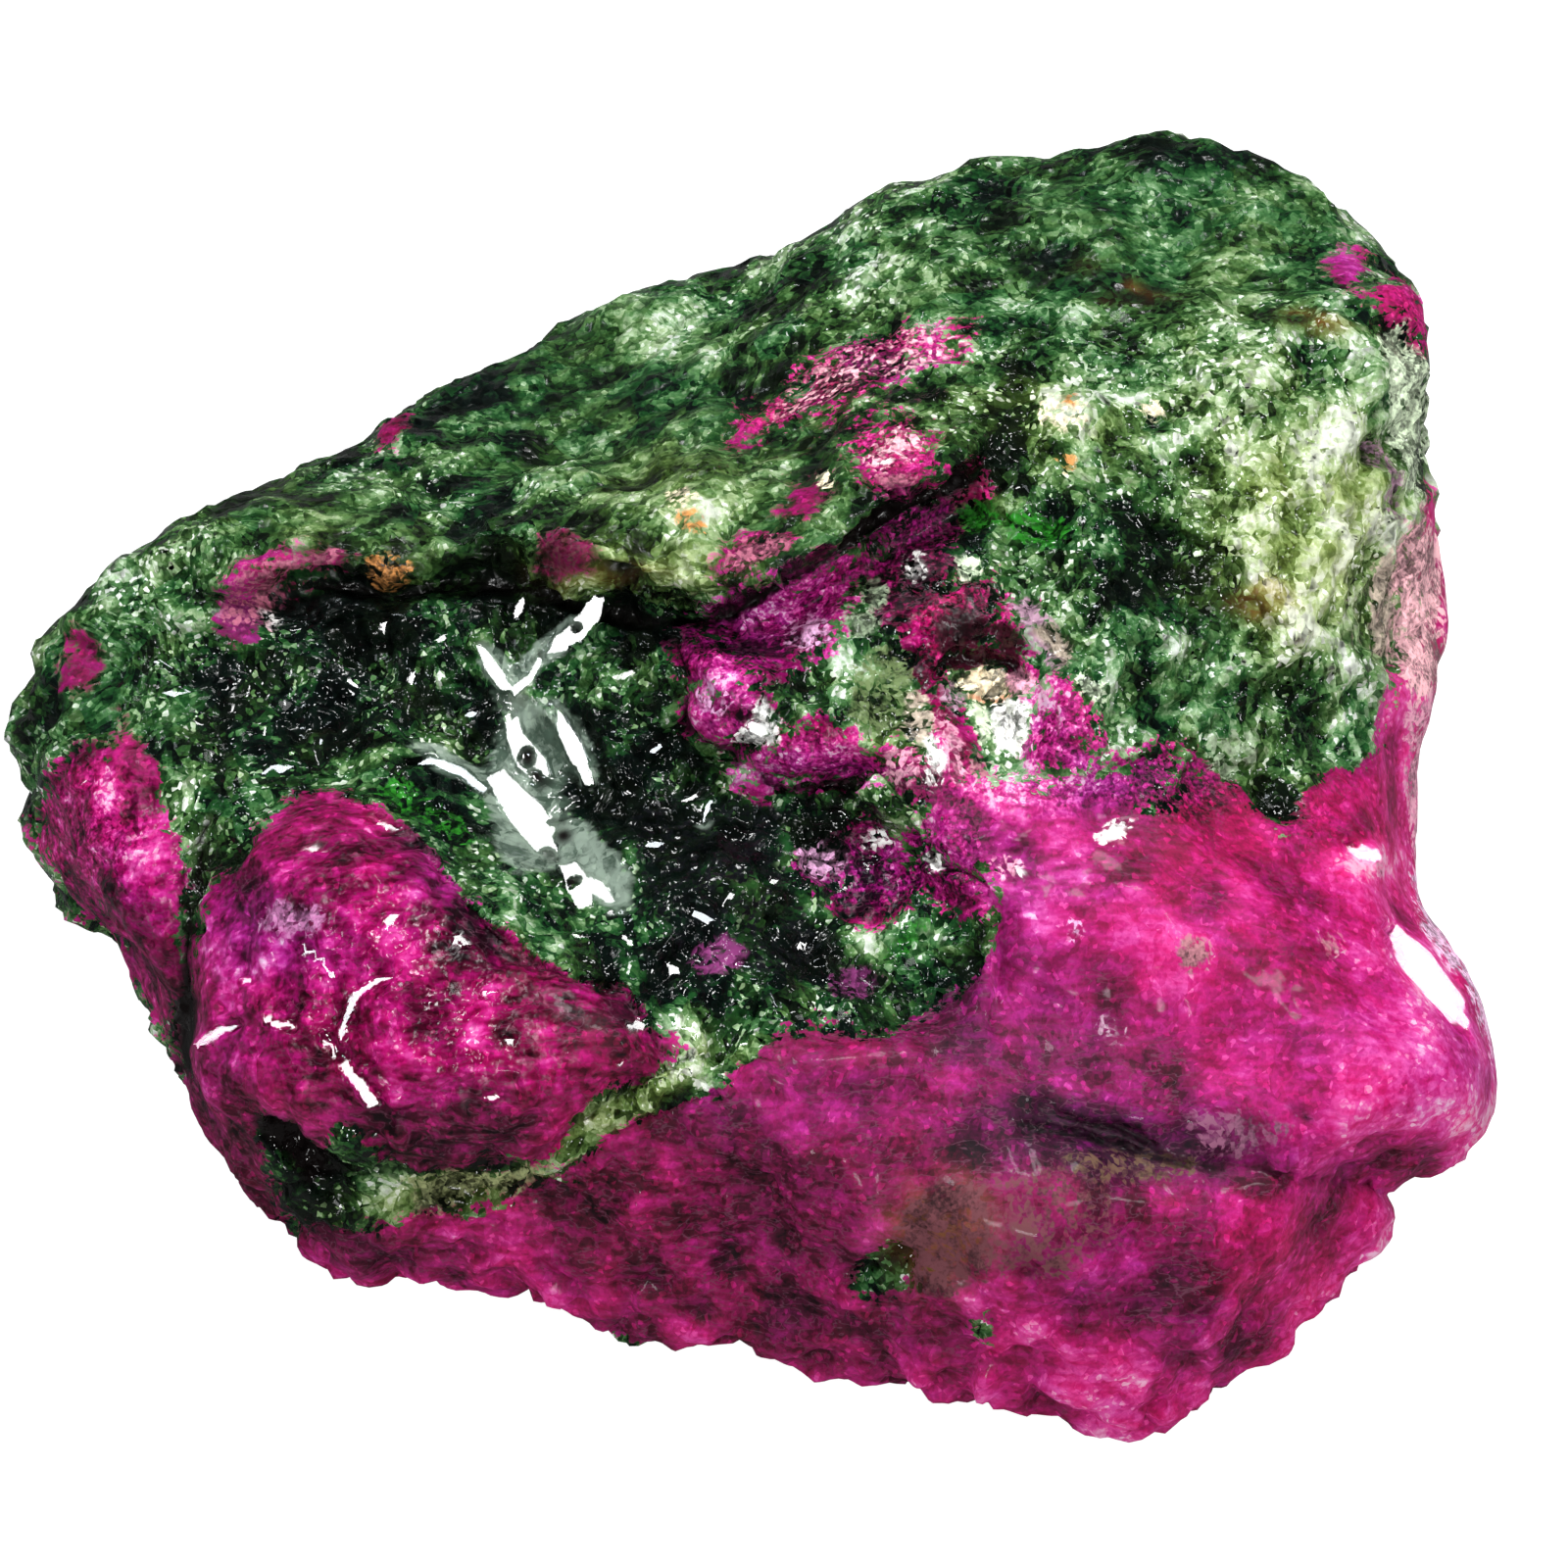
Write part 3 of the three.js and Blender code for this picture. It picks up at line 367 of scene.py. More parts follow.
PATCHES = [
    ([(982, 700), (992, 688), (1012, 682), (1032, 690), (1034, 704), (1018, 716), (994, 712)], CREAM),
    ([(988, 711), (1012, 717), (1034, 708), (1036, 716), (1014, 724), (992, 718)], PEACH, 0.7),
    ([(1024, 690), (1036, 682), (1048, 692), (1046, 712), (1034, 712)], ROSE),
    ([(1012, 724), (1034, 714), (1052, 722), (1052, 750), (1036, 770), (1018, 764), (1012, 746)], WHITE_AND_PAINTED_GLINTS),
    ([(990, 720), (1012, 722), (1014, 748), (1002, 756), (992, 742)], PALE_GREEN_AND_PAINTED_GLARE),
    ([(962, 700), (976, 694), (984, 714), (974, 728), (962, 720)], MAUVE_GREY, 0.6),
    ([(956, 734), (966, 728), (978, 760), (984, 796), (972, 800), (960, 766)], PINK_GREY, 0.6),
    ([(984, 760), (998, 766), (1012, 796), (1000, 802), (986, 790)], ROSE_BROWN, 0.6),
    ([(1024, 612), (1044, 604), (1066, 628), (1086, 660), (1082, 690), (1064, 678),
      (1046, 648)], MAUVE_GREY, 0.7),
    ([(1050, 640), (1070, 636), (1090, 664), (1086, 682), (1070, 668)], BEIGE),
    ([(1100, 690), (1114, 684), (1130, 706), (1124, 722), (1108, 712)], PALE_GREEN_AND_PAINTED_GLARE),
    # Painted highlight: a white glint on a wet facet.
    ([(778, 714), (792, 738), (794, 758), (770, 760), (750, 754), (762, 740)], WHITE_AND_PAINTED_GLINTS),
    ([(716, 704), (738, 694), (748, 712), (736, 730), (718, 722)], LILAC, 0.6),
    ([(902, 774), (918, 762), (944, 764), (948, 786), (930, 802), (908, 796)], PINK_GREY, 0.5),
    ([(942, 752), (950, 748), (958, 776), (956, 800), (946, 800)], WHITE_AND_PAINTED_GLINTS),
    ([(922, 706), (940, 700), (954, 730), (950, 764), (934, 766), (922, 738)], BEIGE, 0.7),
    ([(868, 680), (898, 664), (930, 672), (936, 704), (920, 744), (890, 750),
      (866, 730)], GREEN_BROWN, 0.62),
    ([(922, 572), (934, 562), (948, 572), (944, 592), (926, 592)], WHITE_AND_PAINTED_GLINTS, 0.6),
    ([(968, 566), (986, 556), (1004, 562), (1000, 582), (976, 586)], PALE_GREEN_AND_PAINTED_GLARE, 0.6),
    ([(864, 636), (880, 628), (896, 636), (892, 652), (872, 654)], GREY_GREEN),
    ([(884, 598), (896, 590), (904, 604), (898, 622), (884, 618)], GREY_GREEN),
    ([(1012, 642), (1030, 636), (1042, 656), (1038, 678), (1020, 672)], DARK_WINE),
    ([(960, 628), (986, 622), (1006, 634), (1004, 660), (980, 672), (960, 660)], DARK_WINE),
    ([(972, 674), (1000, 666), (1036, 672), (1036, 684), (1004, 680), (976, 686)], DARK_WINE),
    ([(800, 640), (822, 632), (850, 638), (848, 656), (820, 664), (802, 658)], LILAC, 0.55),
    ([(812, 868), (834, 858), (862, 866), (862, 884), (836, 894), (814, 888)], LILAC, 0.5),
    # Painted highlights: white glints, this one and the next.
    ([(880, 852), (902, 846), (912, 858), (896, 868), (882, 864)], WHITE_AND_PAINTED_GLINTS, 0.6),
    ([(946, 876), (956, 873), (962, 884), (952, 890)], WHITE_AND_PAINTED_GLINTS),
    ([(1010, 880), (1028, 874), (1046, 880), (1042, 894), (1020, 896)], ROSE, 0.55),
    # Painted highlight: a white glint.
    ([(1122, 856), (1140, 842), (1154, 840), (1150, 854), (1132, 864)], WHITE_AND_PAINTED_GLINTS),
    ([(1228, 760), (1250, 742), (1282, 746), (1284, 776), (1258, 792), (1234, 784)], GREY_GREEN, 0.6),
    ([(1404, 452), (1412, 450), (1424, 488), (1424, 528), (1414, 524), (1408, 488)], MAUVE_GREY),
    # Painted highlight: the glare along the right face's edge, laid in pale green.
    ([(1412, 340), (1434, 330), (1454, 370), (1456, 440), (1450, 520), (1432, 500),
      (1424, 420)], PALE_GREEN_AND_PAINTED_GLARE),
    ([(882, 466), (906, 440), (934, 440), (946, 456), (924, 474), (900, 484)], PALE_ROSE, 0.55),
    # Painted highlight: a white glint in the pale pink.
    ([(890, 472), (906, 462), (922, 462), (914, 474), (898, 480)], WHITE_AND_PAINTED_GLINTS, 0.6),
    ([(892, 486), (920, 484), (944, 482), (930, 498), (900, 498)], DULL_ROSE, 0.7),
    ([(684, 508), (700, 503), (712, 512), (704, 522), (688, 520)], CREAM, 0.6),
    ([(692, 526), (706, 522), (718, 536), (710, 548), (696, 542)], ORANGE, 0.6),
    ([(376, 572), (396, 566), (418, 576), (410, 592), (384, 592)], ORANGE, 0.8),
    ([(832, 482), (842, 478), (849, 488), (840, 496)], CREAM),
    ([(1062, 414), (1080, 404), (1110, 410), (1112, 432), (1088, 442), (1066, 436)], CREAM, 0.6),
    ([(1086, 404), (1098, 402), (1102, 412), (1090, 416)], ORANGE),
    ([(1078, 468), (1094, 464), (1102, 474), (1090, 482)], ORANGE, 0.5),
    ([(1166, 409), (1178, 406), (1188, 414), (1176, 422)], CREAM),
    ([(1018, 530), (1046, 516), (1080, 522), (1096, 544), (1070, 560), (1034, 554)], VIVID_GREEN, 0.7),
    ([(972, 522), (996, 508), (1020, 516), (1018, 536), (990, 542)], VIVID_GREEN, 0.8),
    ([(382, 806), (410, 792), (452, 826), (486, 852), (476, 862), (432, 838)], VIVID_GREEN, 0.55),
    ([(902, 976), (924, 948), (946, 930), (950, 944), (930, 974), (908, 990)], VIVID_GREEN, 0.6),
    ([(262, 934), (290, 920), (330, 926), (334, 948), (300, 958), (268, 952)], VIOLET_GREY, 0.8),
    ([(270, 622), (277, 618), (280, 636), (272, 640)], WHITE_AND_PAINTED_GLINTS),
    ([(912, 1262), (924, 1224), (962, 1202), (1004, 1206), (1018, 1250), (1008, 1302), (968, 1316),
      (928, 1304)], BROWN, 0.75),
    # Partly the vein's own olive-grey, partly painted light that lifts the shade of the groove it lies in.
    ([(405, 1204), (450, 1198), (500, 1202), (560, 1190), (570, 1200), (530, 1214), (480, 1230),
      (420, 1240)], OLIVE_GREY, 0.7),
    ([(640, 820), (720, 800), (800, 830), (800, 900), (840, 960), (800, 1000), (700, 980),
      (650, 900)], INK, 0.5),
    ([(1205, 1140), (1260, 1134), (1322, 1140), (1316, 1160), (1262, 1180), (1220, 1176)], DUSK, 0.6),
    ([(1080, 1178), (1140, 1172), (1226, 1180), (1222, 1204), (1150, 1206),
      (1090, 1200)], OLIVE_BROWN, 0.55),
    ([(1010, 1200), (1080, 1190), (1130, 1210), (1140, 1260), (1100, 1300), (1020, 1300)], BROWN, 0.5),
    ([(1088, 944), (1098, 940), (1106, 950), (1098, 960), (1088, 956)], LILAC, 0.7),
    ([(1346, 952), (1362, 948), (1372, 962), (1360, 974), (1346, 968)], ROSE_BROWN, 0.6),
    ([(1116, 1040), (1140, 1036), (1156, 1054), (1142, 1074), (1118, 1066)], MAUVE_GREY, 0.45),
    ([(706, 962), (740, 950), (764, 974), (744, 996), (712, 990)], DARK_VIOLET, 0.7),
    ([(846, 996), (880, 984), (904, 1000), (884, 1022), (852, 1020)], DARK_VIOLET, 0.66),
    ([(1200, 975), (1208, 960), (1226, 960), (1234, 976), (1222, 992), (1206, 990)], ROSE_BROWN),
    ([(1434, 540), (1452, 520), (1466, 560), (1470, 700), (1440, 720), (1432, 640)], PALE_ROSE),
    ([(1436, 720), (1470, 700), (1470, 800), (1456, 870), (1442, 890), (1436, 800)], PINK_GREY, 0.8),
    ([(1416, 560), (1424, 556), (1432, 640), (1424, 672), (1412, 660)], BEIGE),
    ([(1436, 890), (1480, 926), (1522, 990), (1540, 1060), (1526, 1094), (1510, 1050), (1488, 1000),
      (1450, 944)], PALE_LILAC, 0.9),
    ([(800, 404), (860, 356), (930, 336), (992, 344), (980, 366), (900, 384), (840, 414),
      (780, 436)], PALE_ROSE, 0.32),
    ([(224, 640), (230, 602), (252, 580), (300, 566), (350, 558), (330, 582), (290, 592),
      (268, 645)], DULL_ROSE, 0.62),
    (RUBY["slab patch"], DULL_ROSE, 0.6),
    (RUBY["dusky spot"], BROWN, 0.5),
]

# Rust stains: marks like those of the lightness.
RUST = [
    (620, 590, 60, 12, 0, 0.2, 1.0), (1290, 610, 30, 14, 0, 0.4, 1.0), (1340, 330, 30, 10, 0, 0.4, 1.0),
    (1150, 290, 40, 12, -20, 0.35, 1.0), (960, 1255, 50, 50, 0, 0.4, 1.0),
]

# Where ruby and zoisite are mixed in small grains along their border.
MIXED = [
    (860, 590, 160, 50, 28, 0.8, 1.0), (840, 775, 110, 44, 0, 0.8, 1.0), (735, 715, 50, 50, 0, 0.7, 1.0),
    (760, 640, 90, 40, 0, 0.8, 1.0), (1010, 640, 90, 90, 0, 0.8, 1.0), (1080, 745, 60, 60, 0, 0.8, 1.0),
    (1060, 800, 110, 30, 0, 0.9, 1.0),
    (880, 890, 90, 50, 0, 0.9, 1.0), (960, 880, 60, 50, 0, 0.8, 1.0), (1190, 800, 70, 40, 0, 0.8, 1.0),
    (900, 450, 120, 50, 0, 0.8, 1.0), (870, 380, 130, 40, 18, 1.0, 1.0), (800, 560, 90, 30, 0, 0.6, 1.0),
    (1330, 830, 60, 30, 0, 0.5, 1.0),
    (880, 1030, 90, 30, 0, 0.6, 1.0), (90, 850, 60, 80, 0, 0.7, 1.0), (1440, 340, 40, 60, 0, 0.6, 1.0),
    (960, 1255, 70, 70, 0, 0.5, 1.0), (500, 1210, 150, 30, 5, 0.5, 1.0), (300, 600, 80, 40, 0, 0.6, 1.0),
]

# Smooth wet films: their outlines, how far they stand out, and the light that they face.
FILMS = {
    "big streak": (
        [(496, 793), (514, 784), (556, 824), (570, 850), (569, 880), (545, 870), (519, 836)],
        0.12, "key",
    ),
    "upper core": (
        [(514, 728), (526, 724), (534, 748), (556, 772), (562, 794), (548, 800), (528, 782), (516, 752)],
        0.10, "key",
    ),
    "lower core": ([(570, 884), (588, 880), (604, 900), (606, 926), (590, 930), (576, 912)], 0.10, "key"),
    "core's foot": ([(600, 894), (616, 900), (630, 922), (620, 926), (604, 912)], 0.08, "key"),
    "right arm": (
        [(598, 612), (614, 610), (612, 630), (592, 654), (574, 664), (556, 668), (566, 648), (584, 636)],
        0.16, "front",
    ),
    "right arm's foot": (
        [(550, 664), (556, 672), (540, 698), (524, 712), (520, 702), (538, 688)],
        0.08, "key",
    ),
    "left arm": ([(484, 656), (494, 658), (514, 684), (524, 704), (512, 706), (496, 684)], 0.08, "key"),
    "bluish streak": (
        [(570, 722), (580, 728), (596, 758), (606, 800), (596, 802), (580, 770), (570, 742)],
        0.08, "key",
    ),
    "arc over the streak": (
        [(412, 776), (440, 772), (474, 782), (500, 804), (494, 810), (470, 792), (440, 782), (416, 784)],
        0.06, "left",
    ),
    "streak on the lump": (
        [(324, 1052), (340, 1056), (362, 1088), (384, 1118), (388, 1132), (374, 1134), (364, 1116),
         (338, 1078)],
        0.14, "key",
    ),
    "dash on the lump": (
        [(272, 1032), (282, 1040), (304, 1043), (304, 1052), (280, 1051), (268, 1042)],
        0.10, "key",
    ),
    "dash at the lump's edge": (
        [(204, 1064), (222, 1048), (242, 1040), (245, 1047), (226, 1060), (210, 1071)],
        0.10, "left",
    ),
    "arc on the lump": (
        [(346, 1064), (346, 1040), (358, 1012), (384, 996), (402, 994), (402, 1001), (386, 1005),
         (366, 1019), (355, 1042), (353, 1064)],
        0.10, "left",
    ),
    "bubble's edge": (
        [(312, 862), (322, 856), (334, 860), (336, 868), (324, 864), (314, 870)],
        0.08, "key",
    ),
    "small dashes, upper": ([(382, 838), (400, 836), (410, 844), (396, 846), (384, 844)], 0.08, "key"),
    "small dashes, middle": ([(388, 940), (398, 930), (410, 932), (404, 944), (392, 948)], 0.08, "key"),
    "small dashes, lower": ([(636, 1048), (650, 1040), (662, 1044), (656, 1054), (640, 1056)], 0.08, "key"),
    "rim drop": (
        [(300, 960), (322, 964), (338, 982), (344, 1000), (336, 1000), (324, 982), (300, 968)],
        0.06, "left",
    ),
    "glint on the right edge": (
        [(1412, 945), (1425, 940), (1462, 978), (1488, 1020), (1500, 1062), (1480, 1050), (1450, 1022),
         (1422, 980)],
        0.05, "key",
    ),
    "glint over the right edge": (
        [(1368, 858), (1404, 866), (1408, 884), (1384, 882), (1368, 872)],
        0.05, "key",
    ),
}

# Small glints of wet: the middle, half the length and width, the degrees turned, and their light.
GLINTS = [
    (282, 786, 28, 5, 8, "left"), (330, 758, 22, 4, 80, "left"), (268, 748, 10, 5, 60, "key"),
    (300, 640, 10, 4, 20, "front"), (420, 690, 10, 4, 70, "key"), (360, 700, 9, 4, -30, "left"),
    (450, 650, 10, 4, 40, "key"), (528, 616, 13, 5, 55, "front"), (642, 686, 14, 4, 35, "right"),
    (668, 764, 10, 6, 20, "left"), (708, 812, 20, 4, 25, "key"), (722, 830, 16, 4, 70, "left"),
    (667, 866, 12, 6, 10, "left"), (718, 934, 18, 6, -15, "left"), (742, 918, 9, 4, 40, "key"),
    (902, 846, 11, 4, -55, "key"), (890, 880, 14, 4, 20, "key"), (928, 938, 16, 5, 60, "right"),
    (790, 900, 9, 4, 10, "key"), (820, 960, 12, 4, 30, "key"), (760, 985, 10, 4, -20, "left"),
    (690, 985, 13, 5, -30, "key"), (640, 960, 11, 5, -40, "key"), (590, 960, 12, 5, -20, "right"),
    (860, 830, 9, 4, 0, "key"), (168, 676, 14, 5, -15, "left"), (176, 706, 22, 6, -8, "left"),
    (200, 736, 11, 5, -40, "key"), (238, 722, 9, 4, 70, "key"), (480, 730, 10, 4, 20, "left"),
    (390, 640, 10, 4, 60, "front"), (690, 720, 10, 4, 60, "right"), (470, 960, 12, 5, -40, "key"),
    (500, 1010, 10, 4, -30, "key"), (440, 1020, 9, 4, 20, "key"), (520, 1062, 9, 5, 0, "key"),
    (502, 1122, 9, 6, 10, "key"), (632, 1084, 10, 4, 40, "key"), (757, 1062, 8, 7, 0, "key"),
    (694, 1052, 16, 5, -20, "key"), (1136, 850, 16, 6, 30, "key"), (776, 742, 14, 8, -30, "key"),
    (252, 1000, 9, 4, -10, "left"), (90, 800, 10, 4, 60, "left"), (1040, 886, 9, 5, 0, "key"),
]

# The grey-green skin round the films.
SKIN = [
    (540, 770, 40, 58, 8, 1.0, 1.0), (606, 886, 62, 30, -52, 1.0, 1.0), (470, 790, 66, 13, -28, 0.9, 1.0),
    (534, 850, 30, 60, 25, 0.8, 1.0), (560, 660, 62, 16, 45, 0.9, 1.0), (506, 682, 16, 34, 30, 0.9, 1.0),
    (588, 762, 18, 46, 20, 0.8, 1.0), (718, 832, 18, 34, 0, 0.5, 1.0),
]

# Droplets and gaps in the films, and painted shade in the black hole and along the fold's crack.
DARK = [
    (575, 853, 9, 8, 0, 1.0, 1.0), (538, 772, 8, 10, 0, 1.0, 1.0), (568, 838, 12, 5, 0, 0.6, 1.0),
    (556, 800, 12, 6, 30, 0.6, 1.0), (588, 640, 6, 5, 0, 0.8, 1.0), (560, 872, 10, 6, -30, 0.7, 1.0),
    # Painted shade: the first mark blackens the black hole.
    (1328, 1136, 13, 5, -30, 1.0, 1.0),
    # Painted shade: the last mark here and the mark of the next line darken the fold's crack.
    (548, 792, 9, 5, -40, 1.0, 1.0), (586, 902, 9, 5, 40, 0.9, 1.0), (1110, 1150, 60, 10, -12, 0.5, 1.0),
    (1190, 1178, 60, 8, -14, 0.5, 1.0),
]

# Ruby masses of the sides, back and underside: centre in the stone and half sizes.
INNER_RUBY = [
    ((16, -16, 8), (22, 16, 14)), ((-18, -14, 9), (11, 9, 9)), ((27, -2, 8), (8, 14, 12)),
    ((-27, -6, 12), (6, 7, 6)), ((6, 20, 5), (11, 8, 6)), ((-14, 12, 4), (8, 6, 5)),
    ((22, 22, 16), (5, 5, 5)), ((0, -2, 0), (15, 11, 5)),
]

# Lines of the front where the surface steps. The side to the right of the line's way stands out by
# so many millimetres, or sinks where that is below 0, and the other side does the opposite.
LEDGES = {
    "back ledge": (
        [
            (1000, 478), (947, 492), (899, 516), (851, 552), (803, 580), (745, 616), (700, 620), (655, 620),
            (600, 608), (560, 592), (475, 580), (405, 594), (330, 580), (240, 602),
        ],
        0.9,
    ),
    "upper ledge": (
        [(760, 435), (805, 395), (860, 355), (930, 337), (1005, 332), (1080, 335), (1155, 360)],
        0.35,
    ),
    "edge of the ruby round the hollow": (
        [
            (1010, 1010), (1010, 960), (1010, 905), (955, 885), (935, 830), (885, 788), (810, 795),
            (730, 775),
        ],
        -0.6,
    ),
    "left lump's upper edge": (
        [(300, 810), (365, 812), (425, 855), (495, 940), (560, 990), (640, 1010), (670, 1060)],
        -0.6,
    ),
}

# Cracks and grooves of the front: the line, then the depth and half the width in millimetres. The
# depth also darkens them, as painted shade.
CRACKS = {
    "left seam": ([(212, 838), (196, 900), (190, 960), (188, 1030), (190, 1090)], 0.9, 0.30),
    "under the back ledge": (
        [(990, 490), (947, 502), (899, 526), (851, 562), (803, 590), (745, 628), (700, 632)],
        0.9, 0.26,
    ),
    "under the back ledge, left": (
        [(700, 632), (655, 634), (600, 622), (560, 606), (475, 594), (405, 608), (330, 596)],
        0.5, 0.24,
    ),
    "fold crack": (
        [(1042, 1150), (1085, 1158), (1130, 1168), (1200, 1188), (1300, 1196), (1408, 1210)],
        0.5, 0.18,
    ),
    "fold's upper groove": ([(1060, 1130), (1095, 1142), (1140, 1152), (1175, 1168)], 0.45, 0.16),
    "light line's crack": ([(1215, 1232), (1232, 1205), (1252, 1180)], 0.25, 0.14),
    "upper edge of the vein": (
        [(330, 1195), (420, 1192), (530, 1192), (620, 1120), (700, 1080)],
        0.5, 0.22,
    ),
    "lower edge of the vein": (
        [(350, 1256), (480, 1238), (570, 1194), (650, 1142), (735, 1110)],
        0.3, 0.18,
    ),
    "black hole": ([(1326, 1136), (1334, 1138)], 0.5, 0.18),
    "pit in the lump": ([(275, 1145), (300, 1165), (318, 1190)], 1.1, 0.7),
    "above the middle ruby": (
        [(690, 655), (705, 690), (700, 740), (745, 765), (800, 805), (880, 800)],
        0.6, 0.3,
    ),
    "hole over the eye": ([(955, 690), (975, 672), (1030, 676), (1046, 690)], 0.5, 0.2),
    "dark edge of the right face": ([(1402, 450), (1412, 480), (1424, 530)], 0.5, 0.25),
}

# Places seen in close detail get a finer mesh: left, top, right and bottom in the picture.
FINE_PLACES = [
    (480, 600, 640, 940), (405, 765, 480, 815), (200, 985, 410, 1150), (950, 660, 1070, 800),
    (1040, 1130, 1220, 1200),
]

# Small moves of the outline: the place and its radius, then how far to the right and up, in millimetres.
EDGE_MOVES = [
    (1402, 1246, 26, 0.55, 0.0), (1420, 1207, 15, -0.7, 0.0), (1290, 1385, 18, 0.3, -0.2),
    (1330, 1345, 14, -0.3, 0.2),
]


def cells(points):
    """Whole cells of one unit, and where in its cell each point lies."""
    whole = np.floor(points)
    return whole.astype(np.int64), points - whole


def chance(cell, salt):
    """A repeatable number from 0 to 1 for each cell; each salt gives another set of them."""
    mixed = cell[:, 0] * 374761393 + cell[:, 1] * 668265263 + cell[:, 2] * 1442695041 + salt * 974634777
    mixed = (mixed ^ (mixed >> 13)) & 0xFFFFFFFF
    mixed = (mixed * 1274126177) & 0xFFFFFFFF
    mixed = mixed ^ (mixed >> 16)
    return (mixed & 0xFFFFFF) / float(0xFFFFFF)


def cells_round(scaled, salt):
    """Each of the 27 cells round the points, and the way from its own centre to the points."""
    cell, _ = cells(scaled)
    for step in np.ndindex(3, 3, 3):
        near = cell + np.array(step) - 1
        centre = near + np.stack([chance(near, salt + k) for k in (1, 2, 3)], axis=1)
        yield near, scaled - centre


def waves(points, size, salt):
    """Smooth noise from -1 to 1 with waves of one size."""
    cell, part = cells(points / size)
    part = part * part * (3 - 2 * part)
    total = np.zeros(len(points))
    for corner in range(8):
        step = np.array([corner & 1, corner >> 1 & 1, corner >> 2 & 1])
        share = np.prod(np.where(step == 1, part, 1 - part), axis=1)
        total += share * chance(cell + step, salt)
    return 2 * total - 1


def facets(points, size, crispness, salt):
    """Flat chips of one size, each at its own height and tilt, from about -1 to 1."""
    total = np.zeros(len(points))
    weights = np.full(len(points), 1e-9)
    for near, away in cells_round(points / size, salt):
        tilt = np.stack([chance(near, salt + k) - 0.5 for k in (4, 5, 6)], axis=1)
        weight = np.exp(-crispness * np.sum(away * away, axis=1))
        total += weight * (2 * chance(near, salt + 7) - 1 + 2 * np.sum(tilt * away, axis=1))
        weights += weight
    return total / weights


def crystal_axes(points, size, salt):
    """Points turned so that each group of crystals has its own direction."""
    nearest = np.full(len(points), 1e9)
    group = np.zeros(points.shape, dtype=np.int64)
    for near, away in cells_round(points / size, salt):
        distance = np.sum(away**2, axis=1)
        closer = distance < nearest
        nearest = np.where(closer, distance, nearest)
        group[closer] = near[closer]
    turn = chance(group, salt + 8) * math.pi
    lean = chance(group, salt + 9) * math.pi
    x = points[:, 0] * np.cos(turn) - points[:, 1] * np.sin(turn)
    y = points[:, 0] * np.sin(turn) + points[:, 1] * np.cos(turn)
    z = y * np.sin(lean) + points[:, 2] * np.cos(lean)
    y = y * np.cos(lean) - points[:, 2] * np.sin(lean)
    return np.stack([x, y, z], axis=1)


def blend(value, low, high):
    """0 below low, 1 above high, and smooth between."""
    part = np.clip((value - low) / (high - low), 0, 1)
    return part * part * (3 - 2 * part)


def seen_at(points):
    """Where each point is seen in the picture."""
    away = points - MIDDLE
    larger = EYE_DISTANCE / (EYE_DISTANCE - away @ NEAR)
    x = PICTURE / 2 + PER_MM * larger * (away @ RIGHT)
    y = PICTURE / 2 - PER_MM * larger * (away @ UP)
    return np.stack([x, y], axis=1)


def to_line(places, line, closed=False):
    """The distance from each place to a line, and the side that it lies on: 1 is the line's right."""
    corners = np.array(line, dtype=float)
    ends = np.roll(corners, -1, axis=0) if closed else corners[1:]
    nearest = np.full(len(places), 1e9)
    side = np.ones(len(places))
    for start, end in zip(corners, ends):
        run = end - start
        away = places - start
        part = np.clip(away @ run / max(run @ run, 1e-9), 0, 1)
        distance = np.linalg.norm(away - part[:, None] * run, axis=1)
        closer = distance < nearest
        nearest = np.where(closer, distance, nearest)
        side = np.where(closer, np.sign(run[0] * away[:, 1] - run[1] * away[:, 0]), side)
    return nearest, side


def depth_inside(places, outline):
    """How deep each place lies inside an outline, in pixels; below 0 outside it."""
    x, y = places[:, 0], places[:, 1]
    inside = np.zeros(len(places), dtype=bool)
    for (x0, y0), (x1, y1) in zip(outline, outline[1:] + outline[:1]):
        if y0 == y1:
            continue
        crosses = (y0 > y) != (y1 > y)
        inside ^= crosses & (x < (x1 - x0) * (y - y0) / (y1 - y0) + x0)
    distance, _ = to_line(places, outline, closed=True)
    return np.where(inside, distance, -distance)


def depth_near(places, outline):
    """The depth inside a small outline, worked out only for places near it."""
    corners = np.array(outline)
    low = corners.min(axis=0) - OUTLINE_REACH
    high = corners.max(axis=0) + OUTLINE_REACH
    near = np.all((places > low) & (places < high), axis=1)
    depth = np.full(len(places), -OUTLINE_REACH)
    depth[near] = depth_inside(places[near], outline)
    return depth


def lens(x, y, half_length, half_width, turn):
    """The outline of a narrow eye shape."""
    angle = math.radians(turn)
    outline = []
    for along, across in LENS_CORNERS:
        dx = along * half_length
        dy = across * half_width
        right = dx * math.cos(angle) - dy * math.sin(angle)
        up = dx * math.sin(angle) + dy * math.cos(angle)
        outline.append((x + right, y - up))
    return outline


def painted(places, marks, start):
    """A value over the front that starts the same everywhere and takes on the marks in turn."""
    value = np.full(len(places), float(start))
    for x, y, half_x, half_y, turn, level, strength in marks:
        angle = math.radians(turn)
        dx = places[:, 0] - x
        dy = y - places[:, 1]
        along = (dx * math.cos(angle) + dy * math.sin(angle)) / half_x
        across = (dy * math.cos(angle) - dx * math.sin(angle)) / half_y
        share = strength * np.exp(-((along**2 + across**2) ** 1.5) * MARK_FADE)
        value += share * (level - value)
    return value


def seen_closely(places):
    """Which places lie in one of the close details."""
    x, y = places[:, 0], places[:, 1]
    fine = np.zeros(len(places), dtype=bool)
    for left, top, right, bottom in FINE_PLACES:
        fine |= (x > left) & (x < right) & (y > top) & (y < bottom)
    return fine


